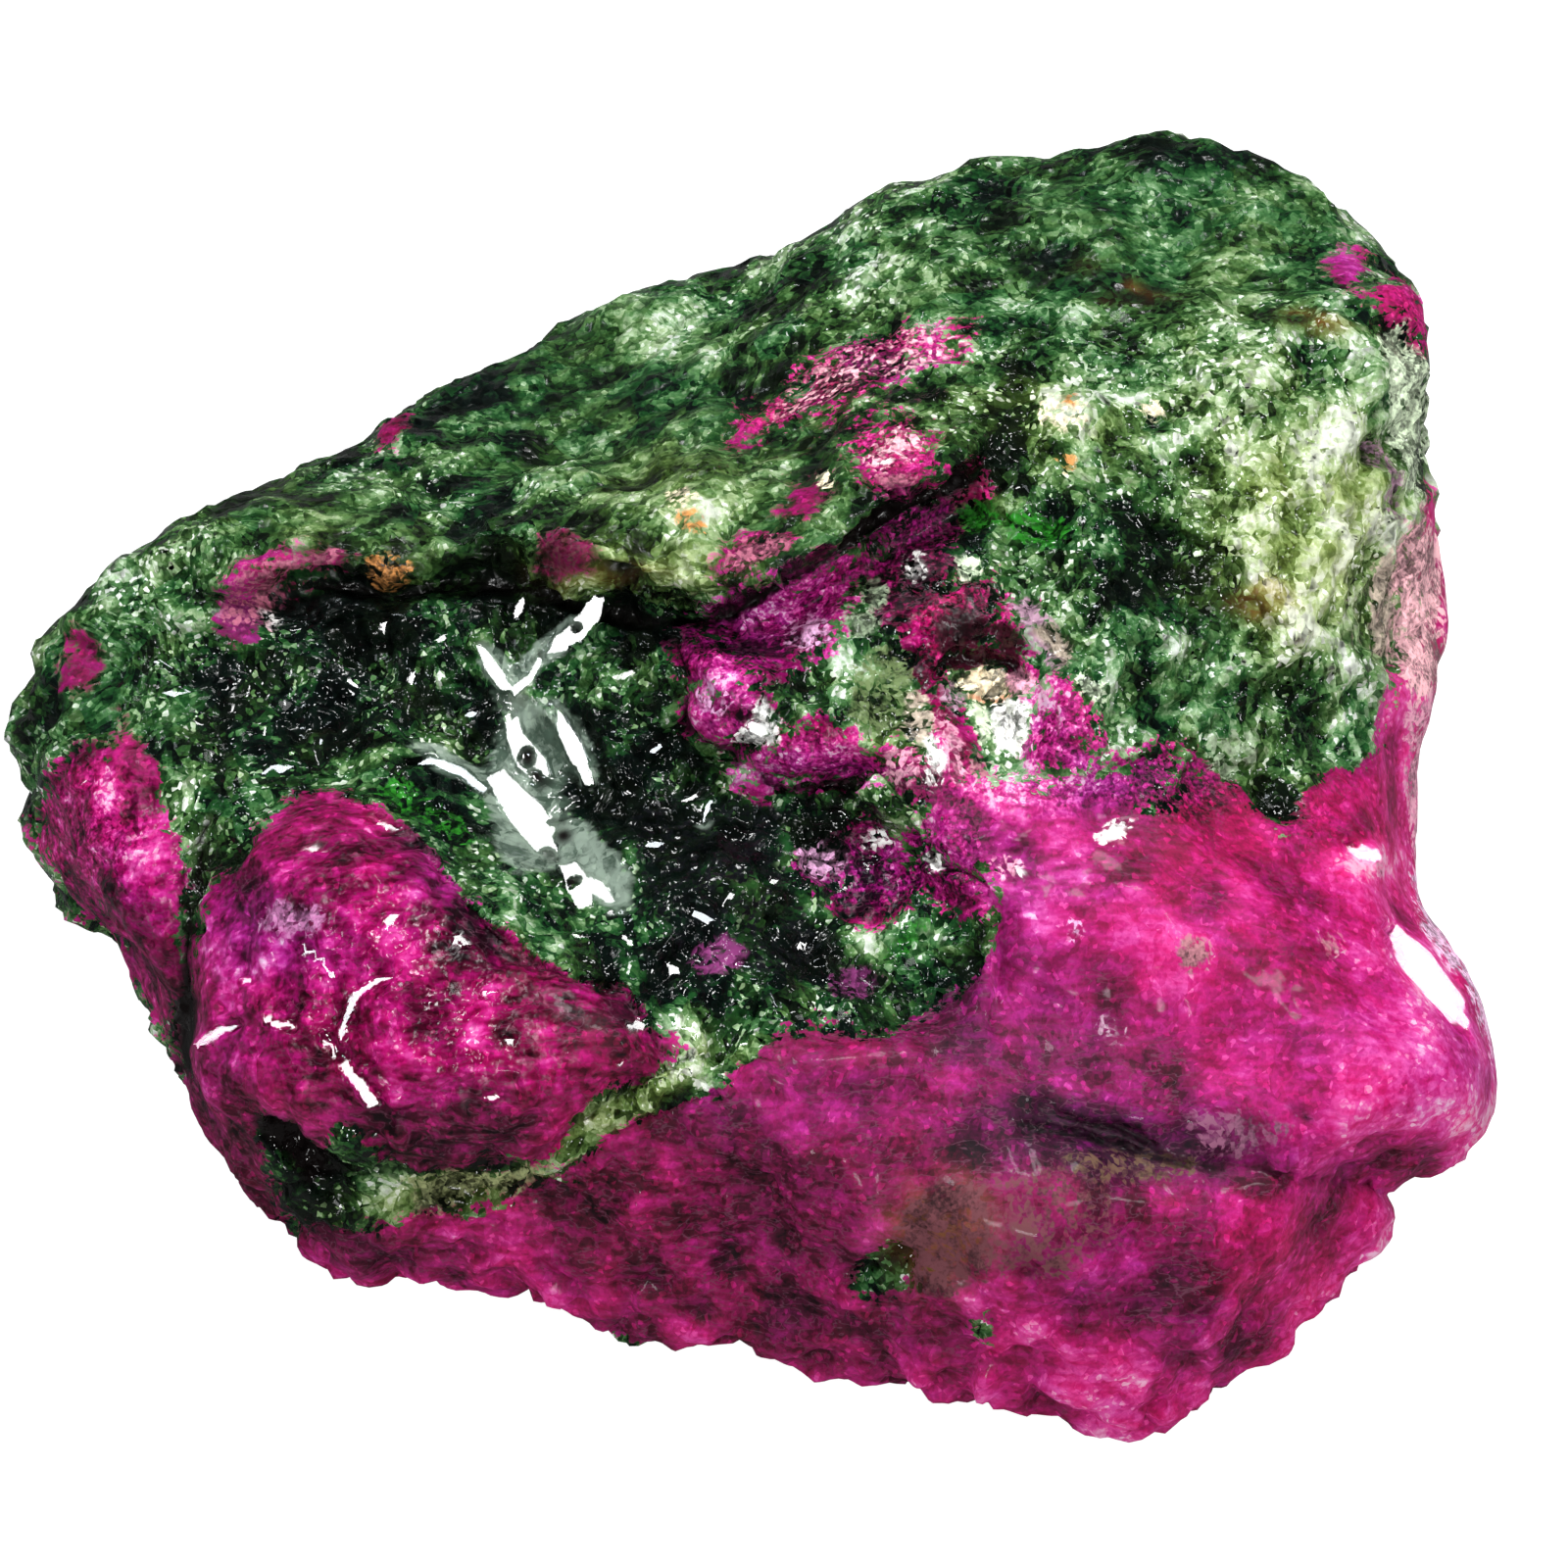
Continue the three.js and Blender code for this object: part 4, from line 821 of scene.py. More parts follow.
def fine_mesh(node):
    """The node's mesh with its edges cut, as points in millimetres, triangles and edges."""
    mesh = bmesh.new()
    mesh.from_mesh(node.data)
    mesh.transform(node.matrix_world)
    bmesh.ops.remove_doubles(mesh, verts=mesh.verts, dist=1e-6)
    bmesh.ops.subdivide_edges(mesh, edges=mesh.edges, cuts=MESH_CUTS, use_grid_fill=True)
    bmesh.ops.triangulate(mesh, faces=mesh.faces)
    mesh.normal_update()
    mesh.verts.ensure_lookup_table()
    points = np.array([vert.co[:] for vert in mesh.verts]) / MM
    facing = np.array([vert.normal[:] for vert in mesh.verts]) @ NEAR
    fine = seen_closely(seen_at(points)) & (facing > 0.05)
    chosen = [edge for edge in mesh.edges if all(fine[vert.index] for vert in edge.verts)]
    bmesh.ops.subdivide_edges(mesh, edges=chosen, cuts=1, use_grid_fill=True)
    bmesh.ops.triangulate(mesh, faces=[face for face in mesh.faces if len(face.verts) > 3])
    mesh.verts.index_update()
    points = np.array([vert.co[:] for vert in mesh.verts]) / MM
    faces = np.array([[vert.index for vert in face.verts] for face in mesh.faces])
    edges = np.array([[vert.index for vert in edge.verts] for edge in mesh.edges])
    mesh.free()
    return points, faces, edges


def relax(values, edges):
    """Each value drawn halfway to the mean of its neighbours, several times over."""
    count = len(values)
    ends = np.concatenate([edges[:, 0], edges[:, 1]])
    others = np.concatenate([edges[:, 1], edges[:, 0]])
    degree = np.bincount(ends, minlength=count)
    columns = values.copy()
    for _ in range(SMOOTHING_ROUNDS):
        for k in range(columns.shape[1]):
            mean = np.bincount(ends, weights=columns[others, k], minlength=count) / degree
            columns[:, k] += 0.5 * (mean - columns[:, k])
    return columns


def point_normals(points, faces):
    """The way that the surface faces at each point, from the faces round it."""
    a, b, c = (points[faces[:, k]] for k in range(3))
    cross = np.cross(b - a, c - a)
    total = np.zeros_like(points)
    for k in range(3):
        for axis in range(3):
            total[:, axis] += np.bincount(faces[:, k], weights=cross[:, axis], minlength=len(points))
    return total / np.linalg.norm(total, axis=1)[:, None]


def ruby_depth(points, places, front):
    """How deep each point lies in ruby, in millimetres; below 0 it lies in zoisite."""
    drift = np.stack([waves(points, 2.6, 11), waves(points, 2.6, 12)], axis=1) * 9
    drift += np.stack([waves(points, 1.1, 13), waves(points, 1.1, 14)], axis=1) * 7
    moved = places + drift
    seen = np.max([depth_inside(moved, outline) for outline in RUBY.values()], axis=0)
    for outline in ZOISITE.values():
        seen = np.minimum(seen, -depth_inside(moved, outline))
    seen = seen / PER_MM
    inner = np.full(len(points), -6.0)
    for centre, half in INNER_RUBY:
        reach = np.linalg.norm((points - np.array(centre)) / np.array(half), axis=1)
        inner = np.maximum(inner, (1 - reach) * min(half))
    inner += 2.2 * waves(points, 9.0, 15) + 1.1 * waves(points, 3.6, 16)
    return front * np.clip(seen, -3, 3) + (1 - front) * np.clip(inner, -3, 3)


def lay_patches(places, front):
    """The colour of the patches, and how much of it shows at each point."""
    colour = np.full((len(places), 3), 0.5)
    share = np.zeros(len(places))
    for outline, finish, *strength in PATCHES:
        inside = blend(depth_near(places, outline), -10.0, 8.0) * front
        inside *= strength[0] if strength else 1.0
        more = inside > share
        colour[more] = finish
        share = np.maximum(share, inside)
    return colour, share


def lay_minerals(points, places, front):
    """The stone's layers: the marks of the front, and broad changes on the sides and the back."""
    back = 1 - front
    wobble = np.stack([waves(points, 1.6, 21), waves(points, 1.6, 22)], axis=1) * 12
    moved = places + wobble
    tone_and_painted_light = painted(moved, TONE_AND_PAINTED_LIGHT, 0.38)
    clumps = 0.10 * waves(points, 4.2, 24) + 0.12 * facets(points, 1.9, 10.0, 25)
    tone_and_painted_light += clumps * blend(tone_and_painted_light, 0.05, 0.35)
    back_lightness = 0.40 + 0.16 * waves(points, 6.0, 17) + 0.12 * waves(points, 2.5, 18)
    back_hue = waves(points, 7.0, 19)
    back_rust = 0.6 * blend(waves(points, 5.0, 23), 0.4, 0.9)
    patch_colour, patch = lay_patches(places + 0.35 * wobble, front)
    return {
        "ruby": ruby_depth(points, places, front),
        "tone_and_painted_light": front * tone_and_painted_light + back * back_lightness,
        "olive": front * painted(moved, OLIVE, 0.12) + back * (0.3 + 0.4 * back_hue),
        "violet": front * painted(moved, VIOLET, 0.30) + back * (0.4 - 0.4 * back_hue),
        "gloss": front * painted(moved, GLOSS, 0.12) + back * 0.4,
        "mixed": front * painted(moved, MIXED, 0.15) + back * 0.3,
        "rust": front * painted(moved, RUST, 0.0) + back * back_rust,
        "soft": front * painted(moved, SOFT, 0.0),
        "skin": front * painted(places + 0.5 * wobble, SKIN, 0.0),
        "dark": front * painted(places, DARK, 0.0),
        "cloud": 0.5 + 0.17 * waves(points, 1.5, 26) + 0.13 * waves(points, 0.75, 27),
        "patch": patch,
        "patch colour": patch_colour,
    }


def crisp_forms(places, front):
    """Ledges and cracks made sharp, as heights towards the camera, and how deep the cracks are."""
    height = np.zeros(len(places))
    gap = np.zeros(len(places))
    for line, rise in LEDGES.values():
        distance, side = to_line(places, line)
        distance = distance / PER_MM
        height += rise * side * np.exp(-distance / LEDGE_WIDTH) * blend(distance, 0, LEDGE_EDGE)
    for line, depth, half_width in CRACKS.values():
        distance, _ = to_line(places, line)
        groove = depth * np.exp(-((distance / PER_MM / half_width) ** 2))
        height -= groove
        gap = np.maximum(gap, groove)
    return height * front, gap * front


def move_outline(points, places, facing):
    """The points with the small moves of the outline, apart from those that face away."""
    for x, y, radius, right, up in EDGE_MOVES:
        away = np.linalg.norm(places - np.array([x, y]), axis=1)
        move = np.exp(-((away / radius) ** 2)) * (facing > -0.5)
        points = points + move[:, None] * (right * RIGHT + up * UP)
    return points


def zoisite_height(points, upward):
    """Jagged blades and chips, lower on the slopes that look up in the picture."""
    turned = crystal_axes(points, 3.0, 20)
    blades = facets(turned / np.array([2.4, 1.0, 1.0]), 0.85, 14.0, 30)
    jagged = 0.24 * blades + 0.24 * facets(points, 1.6, 14.0, 40) + 0.40 * facets(points, 3.6, 10.0, 45)
    return jagged * (1 - 0.55 * blend(upward, 0.35, 0.8))


def ruby_height(points, gloss, upward):
    """Rounded lumps, bolder where the ruby is glossy, and crumbs along the lower rim."""
    lumps = (0.10 + 0.10 * gloss) * facets(points, 2.9, 9.0, 60)
    lumps += (0.04 + 0.14 * gloss) * facets(points, 1.2, 10.0, 70)
    lumps += (0.02 + 0.05 * gloss) * waves(points, 0.6, 80)
    rim = blend(points @ (-UP), -2.0, 10.0) * blend(upward, -0.3, -0.75)
    crumbs = 0.42 * facets(points, 1.25, 14.0, 85) + 0.14 * waves(points, 0.7, 86)
    return lumps + rim * crumbs


def grain_height(points, layers, upward):
    """How far the grain stands out, in millimetres; it is nearly flat under the wet skin."""
    ruby, gloss = layers["ruby"], layers["gloss"]
    share = blend(ruby, -0.2, 0.2)
    height = (0.10 + 0.10 * gloss) * waves(points, 2.4, 90) + 0.10 * np.clip(ruby, -0.6, 0.6)
    height += share * ruby_height(points, gloss, upward)
    height += (1 - share) * zoisite_height(points, upward)
    return height * (1 - 0.85 * layers["skin"]) * blend(points[:, 2], 0.0, 0.6)


def light_way(heading, height):
    """The way to a light, heading degrees round from the front towards the right."""
    turn = math.radians(heading)
    rise = math.radians(height)
    return np.array([math.sin(turn) * math.cos(rise), -math.cos(turn) * math.cos(rise), math.sin(rise)])


def film_facing(centre, lamp):
    """The way that a film faces: halfway between the camera and the light that it mirrors."""
    way, distance = LIGHTS[lamp][:2]
    to_eye = MIDDLE + EYE_DISTANCE * NEAR - centre
    to_lamp = HEART + light_way(*way) * distance / MM - centre
    facing = to_eye / np.linalg.norm(to_eye) + to_lamp / np.linalg.norm(to_lamp)
    return facing / np.linalg.norm(facing)


def lay_films(points, places, front, dark):
    """The points of each film moved onto its plane, how much is film, and the way that it faces."""
    films = np.zeros(len(points))
    ways = np.zeros((len(points), 3)) + NEAR
    glints = [(lens(*shape), GLINT_RISE, lamp) for *shape, lamp in GLINTS]
    for outline, rise, lamp in list(FILMS.values()) + glints:
        share = blend(depth_near(places, outline), -3.0, 1.5) * front * (1 - blend(dark, 0.25, 0.55))
        inner = share > 0.6
        if not inner.any():
            continue
        centre = points[inner].mean(axis=0)
        facing = film_facing(centre, lamp)
        offset = ((centre - points) @ facing) / (NEAR @ facing) + rise
        points = points + NEAR * (offset * share)[:, None]
        ways[share > films] = facing
        films = np.maximum(films, share)
    return points, films, ways


def shape_stone():
    """The points and faces of the stone with its grain, and the layers that its material reads."""
    points, faces, edges = fine_mesh(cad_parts["stone"])
    resting = points[:, 2] < 0.01
    points = relax(points, edges)
    points[resting, 2] = 0
    normals = relax(point_normals(points, faces), edges)
    normals /= np.linalg.norm(normals, axis=1)[:, None]
    places = seen_at(points)
    front = blend(normals @ NEAR, -0.2, 0.12)
    layers = lay_minerals(points, places, front)

    rise, gap = crisp_forms(places, front)
    points = move_outline(points + NEAR * rise[:, None], places, normals @ NEAR)
    normals = point_normals(points, faces)
    height = grain_height(points, layers, normals @ UP)
    # Painted shade: the colour is darker where the grain sinks and lighter where it stands out.
    layers["tone_and_painted_light"] += 0.30 * height * blend(layers["tone_and_painted_light"], 0.0, 0.4)
    points = points + normals * height[:, None]
    points, layers["film"], layers["film way"] = lay_films(points, places, front, layers["dark"])
    points[:, 2] = np.maximum(points[:, 2], 0)
    points[resting, 2] = 0
    # Painted shade: the cracks' colour goes nearly black with their depth.
    layers["dark"] = np.maximum(layers["dark"], blend(gap, 0.15, 0.7))
    layers["ruby share"] = blend(layers["ruby"], -0.1, 0.1)
    return points, faces, layers


def build_stone():
    points, faces, layers = shape_stone()
    mesh = bpy.data.meshes.new("stone_grain")
    mesh.from_pydata((points * MM).tolist(), [], faces.tolist())
    mesh.shade_smooth()
    for name, values in layers.items():
        kind, field = ("FLOAT", "value") if values.ndim == 1 else ("FLOAT_VECTOR", "vector")
        layer = mesh.attributes.new(name, kind, "POINT")
        layer.data.foreach_set(field, values.astype(np.float32).ravel())
    mesh.materials.append(stone_material())
    piece = bpy.data.objects.new("stone_grain", mesh)
    bpy.context.collection.objects.link(piece)
    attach(piece, "root")
    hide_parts("stone")


class Nodes:
    """Short ways to place and join a node tree's nodes."""

    def __init__(self, tree):
        self.tree = tree

    def add(self, kind, inputs=None, **settings):
        node = self.tree.nodes.new(kind)
        for name, value in settings.items():
            setattr(node, name, value)
        for name, value in (inputs or {}).items():
            self.feed(node.inputs[name], value)
        return node

    def feed(self, socket, value):
        if isinstance(value, bpy.types.NodeSocket):
            self.tree.links.new(value, socket)
        else:
            socket.default_value = value

    def feed_in_turn(self, node, values):
        for socket, value in zip(node.inputs, values):
            self.feed(socket, value)
        return node.outputs[0]

    def math(self, operation, *values, clamp=False):
        node = self.add("ShaderNodeMath", operation=operation, use_clamp=clamp)
        return self.feed_in_turn(node, values)

    def vector(self, operation, *values):
        return self.feed_in_turn(self.add("ShaderNodeVectorMath", operation=operation), values)

    def plus(self, a, b):
        return self.math("ADD", a, b)

    def minus(self, a, b):
        return self.math("SUBTRACT", a, b)

    def times(self, a, b):
        return self.math("MULTIPLY", a, b)

    def varied(self, value, parts):
        """The value with each part's distance from 0.5 added, times its amount."""
        for part, amount in parts:
            value = self.plus(value, self.times(self.minus(part, 0.5), amount))
        return value

    def kept_in_range(self, value):
        return self.math("ADD", value, 0.0, clamp=True)

    def span(self, value, low, high, to_low=0.0, to_high=1.0):
        """The value's way from low to high, smooth, as a way from to_low to to_high."""
        ends = {"From Min": low, "From Max": high, "To Min": to_low, "To Max": to_high}
        node = self.add("ShaderNodeMapRange", {"Value": value, **ends}, interpolation_type="SMOOTHSTEP")
        return node.outputs[0]

    def mix(self, share, low, high, kind="RGBA"):
        node = self.add("ShaderNodeMix", {"Factor": share, "A": low, "B": high}, data_type=kind)
        return node.outputs["Result"]

    def triple(self, value):
        return self.add("ShaderNodeCombineXYZ", {"X": value, "Y": value, "Z": value}).outputs[0]

    def layer(self, name, output="Fac"):
        node = self.add("ShaderNodeAttribute", attribute_type="GEOMETRY", attribute_name=name)
        return node.outputs[output]

    def noise(self, place, scale, detail, roughness=0.5):
        inputs = {"Vector": place, "Scale": scale, "Detail": detail, "Roughness": roughness}
        return self.add("ShaderNodeTexNoise", inputs).outputs["Fac"]

    def cell(self, place, scale):
        """The colour of each cell of a pattern, and its red, green and blue."""
        colour = self.add("ShaderNodeTexVoronoi", {"Vector": place, "Scale": scale}).outputs["Color"]
        return colour, self.add("ShaderNodeSeparateColor", {"Color": colour}).outputs

    def ramp(self, value, stops):
        node = self.add("ShaderNodeValToRGB", {"Fac": value})
        elements = node.color_ramp.elements
        while len(elements) < len(stops):
            elements.new(0.5)
        for element, (position, colour) in zip(elements, stops):
            element.position = position
            element.color = (*colour, 1)
        return node.outputs["Color"]

    def group(self, tree, inputs):
        return self.add("ShaderNodeGroup", inputs, node_tree=tree).outputs


def new_group(name, inputs, outputs):
    """A node group with its named sockets: its nodes, what it is given and what it puts out."""
    tree = bpy.data.node_groups.new(name, "ShaderNodeTree")
    for label, kind in inputs.items():
        tree.interface.new_socket(label, in_out="INPUT", socket_type="NodeSocket" + kind)
    for label, kind in outputs.items():
        tree.interface.new_socket(label, in_out="OUTPUT", socket_type="NodeSocket" + kind)
    nodes = Nodes(tree)
    return nodes, nodes.add("NodeGroupInput").outputs, nodes.add("NodeGroupOutput").inputs


def crystal_turn_group():
    """Places turned so that each group of crystals has its own direction, and the group's number."""
    nodes, given, result = new_group(
        "crystal groups", {"Place": "Vector"}, {"Turned": "Vector", "Number": "Float"},
    )
    colour, parts = nodes.cell(given["Place"], 1 / CRYSTAL_GROUP_SIZE)
    turn = nodes.vector("MULTIPLY", colour, (FULL_TURN, FULL_TURN, FULL_TURN))
    turned = nodes.add(
        "ShaderNodeVectorRotate", {"Vector": given["Place"], "Rotation": turn}, rotation_type="EULER_XYZ",
    )
    nodes.feed(result["Turned"], turned.outputs[0])
    nodes.feed(result["Number"], parts["Green"])
    return nodes.tree


def grain_group():
    """Grains of one size: a number for each grain, and its tilt."""
    nodes, given, result = new_group(
        "grains",
        {"Place": "Vector", "Size": "Float", "Stretch": "Float"},
        {"Number": "Float", "Tilt": "Vector"},
    )
    ratio = nodes.math("DIVIDE", 1.0, given["Stretch"])
    squeeze = nodes.add("ShaderNodeCombineXYZ", {"X": ratio, "Y": 1.0, "Z": 1.0}).outputs[0]
    squeezed = nodes.vector("MULTIPLY", given["Place"], squeeze)
    colour, parts = nodes.cell(squeezed, nodes.math("DIVIDE", 1.0, given["Size"]))
    nodes.feed(result["Number"], parts["Red"])
    nodes.feed(result["Tilt"], nodes.vector("SUBTRACT", colour, (0.5, 0.5, 0.5)))
    return nodes.tree


def stone_patterns(nodes):
    """The grain and the layers that the stone's colour, tilt and gloss share."""
    to_mm = (1 / MM, 1 / MM, 1 / MM)
    place = nodes.vector("MULTIPLY", nodes.add("ShaderNodeTexCoord").outputs["Object"], to_mm)
    crystals = nodes.group(crystal_turn_group(), {"Place": place})
    turned = crystals["Turned"]
    grains = grain_group()
    soft = nodes.layer("soft")
    blade_stretch = nodes.span(soft, 0.0, 1.0, 2.0, 1.15)
    blades = nodes.group(grains, {"Place": turned, "Size": BLADE_SIZE, "Stretch": blade_stretch})
    flecks = nodes.group(grains, {"Place": turned, "Size": FLECK_SIZE, "Stretch": 1.4})
    along = nodes.vector("MULTIPLY", place, (0.4, 1.0, 1.0))
    dust = nodes.noise(place, 6.5, 1.0, 0.6)
    cloud = nodes.layer("cloud")
    coarse = nodes.varied(
        0.5, [(blades["Number"], 0.38), (flecks["Number"], 0.20), (cloud, 1.7), (dust, 0.30)],
    )
    return SimpleNamespace(
        place=place,
        group_number=crystals["Number"],
        blade=blades["Number"],
        blade_tilt=blades["Tilt"],
        fleck=flecks["Number"],
        fleck_tilt=flecks["Tilt"],
        dust=dust,
        curd=nodes.noise(along, 2.4, 1.5, 0.65),
        cloud=cloud,
        coarse=coarse,
        soft=soft,
        light=nodes.layer("tone_and_painted_light"),
        gloss=nodes.layer("gloss"),
        mixed=nodes.layer("mixed"),
        skin=nodes.layer("skin"),
        film=nodes.layer("film"),
    )


def ruby_share(nodes, stone):
    """How much is ruby: an edge that follows the grains, crisp in front and softer at the far side."""
    ragged = nodes.varied(0.0, [(stone.blade, 0.6), (stone.fleck, 0.5), (stone.curd, 2.2), (stone.dust, 0.8)])
    ragged = nodes.times(ragged, nodes.span(stone.mixed, 0.0, 1.0, 0.35, 1.5))
    edge = nodes.plus(nodes.layer("ruby"), ragged)
    width = nodes.span(stone.soft, 0.0, 1.0, 0.06, 0.30)
    return nodes.span(edge, nodes.times(width, -1.0), width)


def zoisite_colour(nodes, stone):
    """Nearly black to pale green, or olive, with white grains that are partly pale grains and partly painted
    glints.
    """
    spread = nodes.times(
        nodes.span(stone.light, 0.0, 0.45, 0.3, 1.0), nodes.span(stone.soft, 0.0, 1.0, 1.0, 0.72),
    )
    spread = nodes.times(spread, nodes.span(stone.light, 0.55, 0.85, 1.0, 0.72))
    light = nodes.plus(stone.light, nodes.times(nodes.minus(stone.coarse, 0.5), spread))
    # Partly pale grains and partly painted glints: white flecks in place of the sparkle of wet cleavage
    # faces.
    pale_grains_and_painted_glints = nodes.times(nodes.span(stone.fleck, 0.86, 0.93), nodes.span(stone.cloud, 0.42, 0.6))
    pale_grains_and_painted_glints = nodes.times(pale_grains_and_painted_glints, nodes.span(stone.soft, 0.0, 1.0, 0.42, 0.15))
    light = nodes.plus(light, pale_grains_and_painted_glints)
    olive = nodes.varied(nodes.layer("olive"), [(stone.group_number, 0.3), (stone.curd, 0.5)])
    green_ramp = nodes.ramp(light, ZOISITE_COLOURS)
    olive_ramp = nodes.ramp(light, OLIVE_COLOURS)
    return nodes.mix(nodes.kept_in_range(olive), green_ramp, olive_ramp)


def ruby_colour(nodes, stone):
    """Crimson to violet, cloudy, with pale specks, speckles near the zoisite, and dull veins."""
    cloudy = nodes.varied(0.0, [(stone.cloud, 1.0), (stone.curd, 0.9)])
    cloudy = nodes.times(cloudy, nodes.span(stone.gloss, 0.1, 0.6, 0.5, 1.0))
    light = nodes.plus(nodes.minus(stone.light, 0.075), cloudy)
    light = nodes.varied(light, [(stone.blade, 0.12), (stone.fleck, 0.12), (stone.dust, 0.22)])
    light = nodes.plus(light, nodes.times(nodes.span(stone.fleck, 0.93, 0.97), 0.11))
    bubbles = nodes.times(nodes.minus(stone.cloud, 0.5), nodes.span(stone.gloss, 0.4, 1.0, 0.0, 0.9))
    light = nodes.plus(light, bubbles)
    speckle = nodes.varied(0.0, [(stone.dust, 1.0), (stone.fleck, 0.35)])
    speckle = nodes.times(speckle, nodes.span(stone.mixed, 0.3, 0.9, 0.0, 0.9))
    light = nodes.plus(light, speckle)
    violet = nodes.varied(nodes.layer("violet"), [(stone.curd, 0.9), (stone.cloud, 0.8), (stone.blade, 0.2)])
    crimson_ramp = nodes.ramp(light, CRIMSON_COLOURS)
    violet_ramp = nodes.ramp(light, VIOLET_COLOURS)
    colour = nodes.mix(nodes.kept_in_range(violet), crimson_ramp, violet_ramp)
    off_vein = nodes.math("ABSOLUTE", nodes.minus(stone.curd, 0.5))
    vein = nodes.times(nodes.span(off_vein, 0.022, 0.004), nodes.span(stone.light, 0.62, 0.34, 0.08, 0.5))
    return nodes.mix(vein, colour, VEIN_COLOUR)


def with_other_minerals(nodes, stone, colour):
    """The colour with rust and the patches laid over it; crumbs roughen a patch's edge."""
    rust = nodes.times(nodes.layer("rust"), nodes.span(stone.cloud, 0.35, 0.6))
    colour = nodes.mix(rust, colour, RUST_COLOUR)
    shade = nodes.varied(stone.coarse, [(stone.dust, 0.6), (stone.fleck, 0.2)])
    shade = nodes.triple(nodes.span(shade, 0.1, 0.9, 0.25, 1.65))
    patch_colour = nodes.vector("MULTIPLY", nodes.layer("patch colour", "Vector"), shade)
    patch = nodes.layer("patch")
    crumbs = nodes.varied(0.0, [(stone.curd, 1.1), (stone.fleck, 0.6), (stone.blade, 0.4)])
    crumbs = nodes.times(crumbs, nodes.span(patch, 0.0, 0.3))
    share = nodes.span(nodes.plus(patch, crumbs), 0.30, 0.80)
    return nodes.mix(share, colour, patch_colour)


def with_skin_droplets_and_crack_shade(nodes, stone, colour):
    """The colour with the grey-green skin of the hollow, dark droplets and gaps in the films, and painted
    shade, nearly black, in the cracks, the holes and the fold.
    """
    skin_colour = nodes.mix(nodes.span(stone.coarse, 0.25, 0.7), SKIN_SHADE, SKIN_COLOUR)
    share = nodes.span(nodes.varied(stone.skin, [(stone.curd, 0.7)]), 0.45, 0.75, 0.0, 0.9)
    colour = nodes.mix(share, colour, skin_colour)
    # Painted shade: the dark layer turns the cracks, holes and fold nearly black.
    return nodes.mix(nodes.layer("dark"), colour, DROPLET_AND_CRACK_SHADE_COLOUR)


def grain_facing(nodes, stone, ruby, smooth):
    """Each grain catches the light in its own direction, and a film faces its own way."""
    dry = nodes.minus(1.0, smooth)
    zoisite_tilt = nodes.times(
        nodes.span(stone.soft, 0.0, 1.0, 0.8, 0.4), nodes.span(stone.gloss, 0.2, 1.0, 1.0, 0.6),
    )
    zoisite_tilt = nodes.times(zoisite_tilt, nodes.span(stone.cloud, 0.42, 0.58, 0.45, 1.25))
    ruby_tilt = nodes.span(stone.gloss, 0.1, 1.0, 0.04, 0.34)
    amount = nodes.times(nodes.mix(ruby, zoisite_tilt, ruby_tilt, "FLOAT"), dry)
    tilt = nodes.vector("ADD", stone.blade_tilt, nodes.vector("MULTIPLY", stone.fleck_tilt, (0.7, 0.7, 0.7)))
    tilt = nodes.vector("MULTIPLY", tilt, nodes.triple(amount))
    normal = nodes.add("ShaderNodeNewGeometry").outputs["Normal"]
    tilted = nodes.vector("NORMALIZE", nodes.vector("ADD", normal, tilt))
    ruby_calm = nodes.times(nodes.layer("ruby share"), nodes.span(stone.gloss, 0.1, 1.0, 0.92, 0.3))
    ripple = nodes.times(nodes.noise(stone.place, 1.5, 0.0), nodes.times(dry, nodes.minus(1.0, ruby_calm)))
    bump = nodes.add(
        "ShaderNodeBump", {"Height": ripple, "Strength": 0.8, "Distance": RIPPLE_HEIGHT, "Normal": tilted},
    )
    facing = nodes.mix(stone.film, bump.outputs[0], nodes.layer("film way", "Vector"), "VECTOR")
    return nodes.vector("NORMALIZE", facing)


def stone_roughness(nodes, stone, ruby, smooth):
    """Ruby is glossiest where it is bubbly; zoisite is glossy, and duller at the far side."""
    bubbly = nodes.plus(stone.gloss, nodes.times(stone.cloud, 0.8))
    ruby_rough = nodes.span(bubbly, 0.8, 1.5, 0.62, 0.16)
    zoisite_rough = nodes.span(stone.blade, 0.0, 1.0, 0.05, 0.20)
    zoisite_rough = nodes.plus(zoisite_rough, nodes.span(stone.soft, 0.0, 1.0, 0.0, 0.2))
    roughness = nodes.mix(ruby, zoisite_rough, ruby_rough, "FLOAT")
    return nodes.times(roughness, nodes.span(smooth, 0.0, 1.0, 1.0, 0.25))


def stone_material():
    """Wet ruby in zoisite: its colour, the way that its grains face, and its gloss."""
    material = bpy.data.materials.new("wet ruby in zoisite")
    material.use_nodes = True
    material.node_tree.nodes.clear()
    nodes = Nodes(material.node_tree)
    stone = stone_patterns(nodes)
    ruby = ruby_share(nodes, stone)
    colour = nodes.mix(ruby, zoisite_colour(nodes, stone), ruby_colour(nodes, stone))
    colour = with_other_minerals(nodes, stone, colour)
    colour = with_skin_droplets_and_crack_shade(nodes, stone, colour)
    smooth = nodes.math("MAXIMUM", nodes.times(stone.skin, 0.8), stone.film, clamp=True)
    shader = nodes.add("ShaderNodeBsdfPrincipled", {
        "Base Color": colour,
        "Roughness": stone_roughness(nodes, stone, ruby, smooth),
        "Normal": grain_facing(nodes, stone, ruby, smooth),
        "IOR": STONE_IOR,
        "Coat Weight": nodes.span(smooth, 0.2, 0.9, 0.04, 1.0),
        "Coat Roughness": WET_ROUGHNESS,
        "Coat IOR": WET_IOR,
    })
    nodes.add("ShaderNodeOutputMaterial", {"Surface": shader.outputs[0]})
    return material


